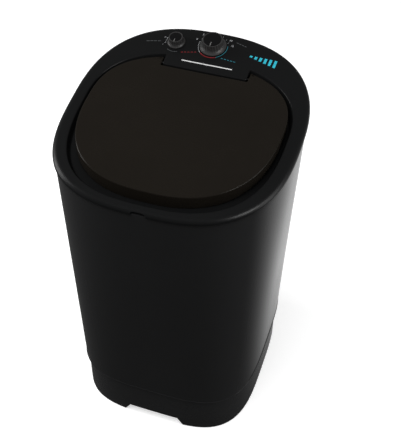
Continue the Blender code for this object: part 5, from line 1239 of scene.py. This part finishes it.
def finish_solids():
    """Gives the solids that stay their finishes, and smooth shading with crisp edges."""
    cast = finish("cast_alloy", (0.36, 0.37, 0.38), 0.48, spread=0.12, metallic=1.0, grain=700.0,
                  relief=0.00012, drift=0.10, pattern="cells")
    paint = finish("grey_motor_paint", (0.045, 0.048, 0.052), 0.42, spread=0.08, metallic=0.2,
                   grain=500.0, relief=0.00004)
    zinc = finish("zinc_plate", (0.50, 0.51, 0.50), 0.36, spread=0.14, metallic=1.0, grain=55.0,
                  relief=0.00001, drift=0.20, drift_scale=28.0)
    cream = finish("cream_switch_body", (0.55, 0.55, 0.51), 0.5, grain=1200.0)
    for look, names in (
            (steel(), ["timer_shaft", "selector_shaft", "pulsator_shaft", "motor_shaft",
                       "upper_bearing", "lower_bearing"]),
            (cast, ["bearing_housing", "drive_pulley", "motor_pulley"]),
            (rubber(), ["shaft_seal", "drive_belt", *["motor_bush_" + corner for corner in CORNERS]]),
            (paint, ["motor_body"]),
            (zinc, ["motor_bracket"]),
            (finish("cream_capacitor", (0.60, 0.59, 0.54), 0.42, grain=900.0), ["capacitor"]),
            (satin_black(), ["capacitor_clip"]),
            (cream, ["timer_body", "selector_switch"])):
        for name in names:
            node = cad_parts[name]
            node.data.materials.clear()
            node.data.materials.append(look)
            node.data.polygons.foreach_set("use_smooth", np.ones(len(node.data.polygons), bool))
            weld = node.modifiers.new("weld", "WELD")
            weld.merge_threshold = 0.00001
            split = node.modifiers.new("edges", "EDGE_SPLIT")
            split.split_angle = math.radians(35)


def add_light(name, power, size, place, aim):
    """A rectangular soft light that faces a point."""
    light = bpy.data.lights.new(name, "AREA")
    light.energy = power
    light.shape = "RECTANGLE"
    light.size, light.size_y = size
    obj = bpy.data.objects.new(name, light)
    bpy.context.scene.collection.objects.link(obj)
    back = unit(np.array(place) - np.array(aim))
    right = unit(np.cross((0.0, 0.0, 1.0), back))
    obj.matrix_world = Matrix(axes(right, np.cross(back, right), back, place).tolist())
    return obj


def camera_floor(tree):
    """The floor glows white for the camera. In what the machine mirrors it is a dim grey, with a
    bright patch behind the machine and to its right."""
    link = tree.links.new
    shader = tree.nodes["Principled BSDF"]
    shader.inputs["Emission Color"].default_value = (1.0, 1.0, 1.0, 1.0)
    camera_rays = add_node(tree, "ShaderNodeLightPath").outputs["Is Camera Ray"]
    place = add_node(tree, "ShaderNodeTexCoord")
    parts = add_node(tree, "ShaderNodeSeparateXYZ")
    link(place.outputs["Object"], parts.inputs["Vector"])
    patch = add_node(tree, "ShaderNodeMath", operation="MULTIPLY")
    for axis, low, high, top, socket in (("X", -0.40, 0.15, 0.85, 0), ("Y", -0.20, 0.55, 1.0, 1)):
        rise = add_node(tree, "ShaderNodeMapRange", {"From Min": low, "From Max": high, "To Max": top},
                        interpolation_type="SMOOTHSTEP")
        link(parts.outputs[axis], rise.inputs["Value"])
        link(rise.outputs["Result"], patch.inputs[socket])
    glow = add_node(tree, "ShaderNodeMix", {"B": 0.55})
    link(camera_rays, glow.inputs["Factor"])
    link(patch.outputs["Value"], glow.inputs["A"])
    link(glow.outputs["Result"], shader.inputs["Emission Strength"])
    seen = add_node(tree, "ShaderNodeMix", {"A": (0.10, 0.10, 0.10, 1.0), "B": (0.86, 0.86, 0.86, 1.0)},
                    data_type="RGBA")
    link(camera_rays, seen.inputs["Factor"])
    link(seen.outputs["Result"], shader.inputs["Base Color"])


def make_stage():
    """A pale floor, a surround that is white to the camera and dimmer as light, large soft lights,
    and the camera of the photograph, which looks along its own -Z."""
    scene = bpy.context.scene
    stage = scene.washer_stage
    scene.view_settings.view_transform = "Standard"
    scene.view_settings.look = "None"
    reach = 9.0
    corners = [(-reach, -reach), (reach, -reach), (reach, reach), (-reach, reach)]
    mesh = bpy.data.meshes.new("studio_floor")
    mesh.from_pydata([(x, y, -0.0002) for x, y in corners], [], [(0, 1, 2, 3)])
    floor = bpy.data.objects.new("studio_floor", mesh)
    scene.collection.objects.link(floor)
    look = finish("studio_floor_white", (0.86, 0.86, 0.86), 0.75, spread=0.05, grain=30.0,
                  relief=0.00001, specular=0.1, drift=0.01)
    camera_floor(look.node_tree)
    floor.data.materials.append(look)
    world = bpy.data.worlds.new("studio_surround")
    world.use_nodes = True
    tree = world.node_tree
    background = tree.nodes["Background"]
    background.inputs["Color"].default_value = (1.0, 1.0, 1.0, 1.0)
    rays = add_node(tree, "ShaderNodeLightPath")
    strength = add_node(tree, "ShaderNodeMix", {"A": stage.surround, "B": 1.0})
    tree.links.new(rays.outputs["Is Camera Ray"], strength.inputs["Factor"])
    tree.links.new(strength.outputs["Result"], background.inputs["Strength"])
    scene.world = world
    overhead = add_light("overhead_light", stage.key_power, (2.6, 2.6), (-0.6, -1.4, 3.6), (0, 0, 0.4))
    overhead.visible_glossy = False  # it lights the machine without a glint on its rounded edges
    glint = add_light("glint_light", 60.0, (1.1, 1.1), (2.4, -0.9, 2.7), (0, 0, 0.95))
    glint.visible_diffuse = False  # it only shows on the rounded edges that face it
    add_light("right_light", stage.side_power, (1.4, 2.4), (2.9, 0.2, 1.6), (0, 0, 0.6))
    add_light("left_light", stage.side_power * 1.3, (1.2, 2.4), (-3.0, 0.0, 1.7), (0, 0, 0.6))
    azimuth, elevation = stage.azimuth, stage.elevation
    level = math.cos(elevation)
    back = np.array([math.sin(azimuth) * level, -math.cos(azimuth) * level, math.sin(elevation)])
    right = np.array([math.cos(azimuth), math.sin(azimuth), 0.0])
    camera_data = bpy.data.cameras.new("photograph_camera")
    camera_data.lens = stage.lens
    camera_data.sensor_width = 36.0
    camera_data.shift_x = 0.0286
    camera_data.shift_y = 0.0002
    camera_data.clip_end = 60.0
    camera = bpy.data.objects.new("photograph_camera", camera_data)
    scene.collection.objects.link(camera)
    place = (0.577, -1.646, 2.325)
    camera.matrix_world = Matrix(axes(right, np.cross(back, right), back, place).tolist())
    scene.camera = camera


def operator(work):
    """An operator class that runs one maker, named after it and with its docstring."""
    name = work.__name__.removeprefix("make_")

    def execute(self, context):
        work()
        return {"FINISHED"}

    return type("WASHER_OT_" + name, (bpy.types.Operator,), {
        "__doc__": work.__doc__, "bl_idname": "washer." + name,
        "bl_label": name.replace("_", " ").capitalize(), "bl_options": {"REGISTER", "UNDO"},
        "execute": execute})


BUILDERS = [operator(work) for work in (
    make_stage, make_cabinet, make_top_frame, make_lid, make_hinge_pins, make_dials, make_printing,
    make_plinth, make_tub, make_pulsator, make_lint_filter, make_rear_fittings, finish_solids)]
SETTINGS = {"washer_sizes": WasherSizes, "washer_colours": WasherColours, "washer_stage": WasherStage}


class WASHER_PT_panel(bpy.types.Panel):
    """Lists the machine's makers and settings."""

    bl_idname = "WASHER_PT_panel"
    bl_label = "Washing machine"
    bl_space_type = "VIEW_3D"
    bl_region_type = "UI"
    bl_category = "Washer"

    def draw(self, context):
        for maker in BUILDERS:
            self.layout.operator(maker.bl_idname)
        for kind, group in SETTINGS.items():
            for name in group.__annotations__:
                self.layout.prop(getattr(context.scene, kind), name)


CLASSES = [*SETTINGS.values(), *BUILDERS, WASHER_PT_panel]


def register():
    for each in CLASSES:
        bpy.utils.register_class(each)
    for kind, group in SETTINGS.items():
        setattr(bpy.types.Scene, kind, bpy.props.PointerProperty(type=group))


def unregister():
    for kind in SETTINGS:
        delattr(bpy.types.Scene, kind)
    for each in reversed(CLASSES):
        bpy.utils.unregister_class(each)


def main():
    register()
    for maker in BUILDERS:
        getattr(bpy.ops.washer, maker.bl_idname.split(".")[1])()


if __name__ == "__main__":
    main()
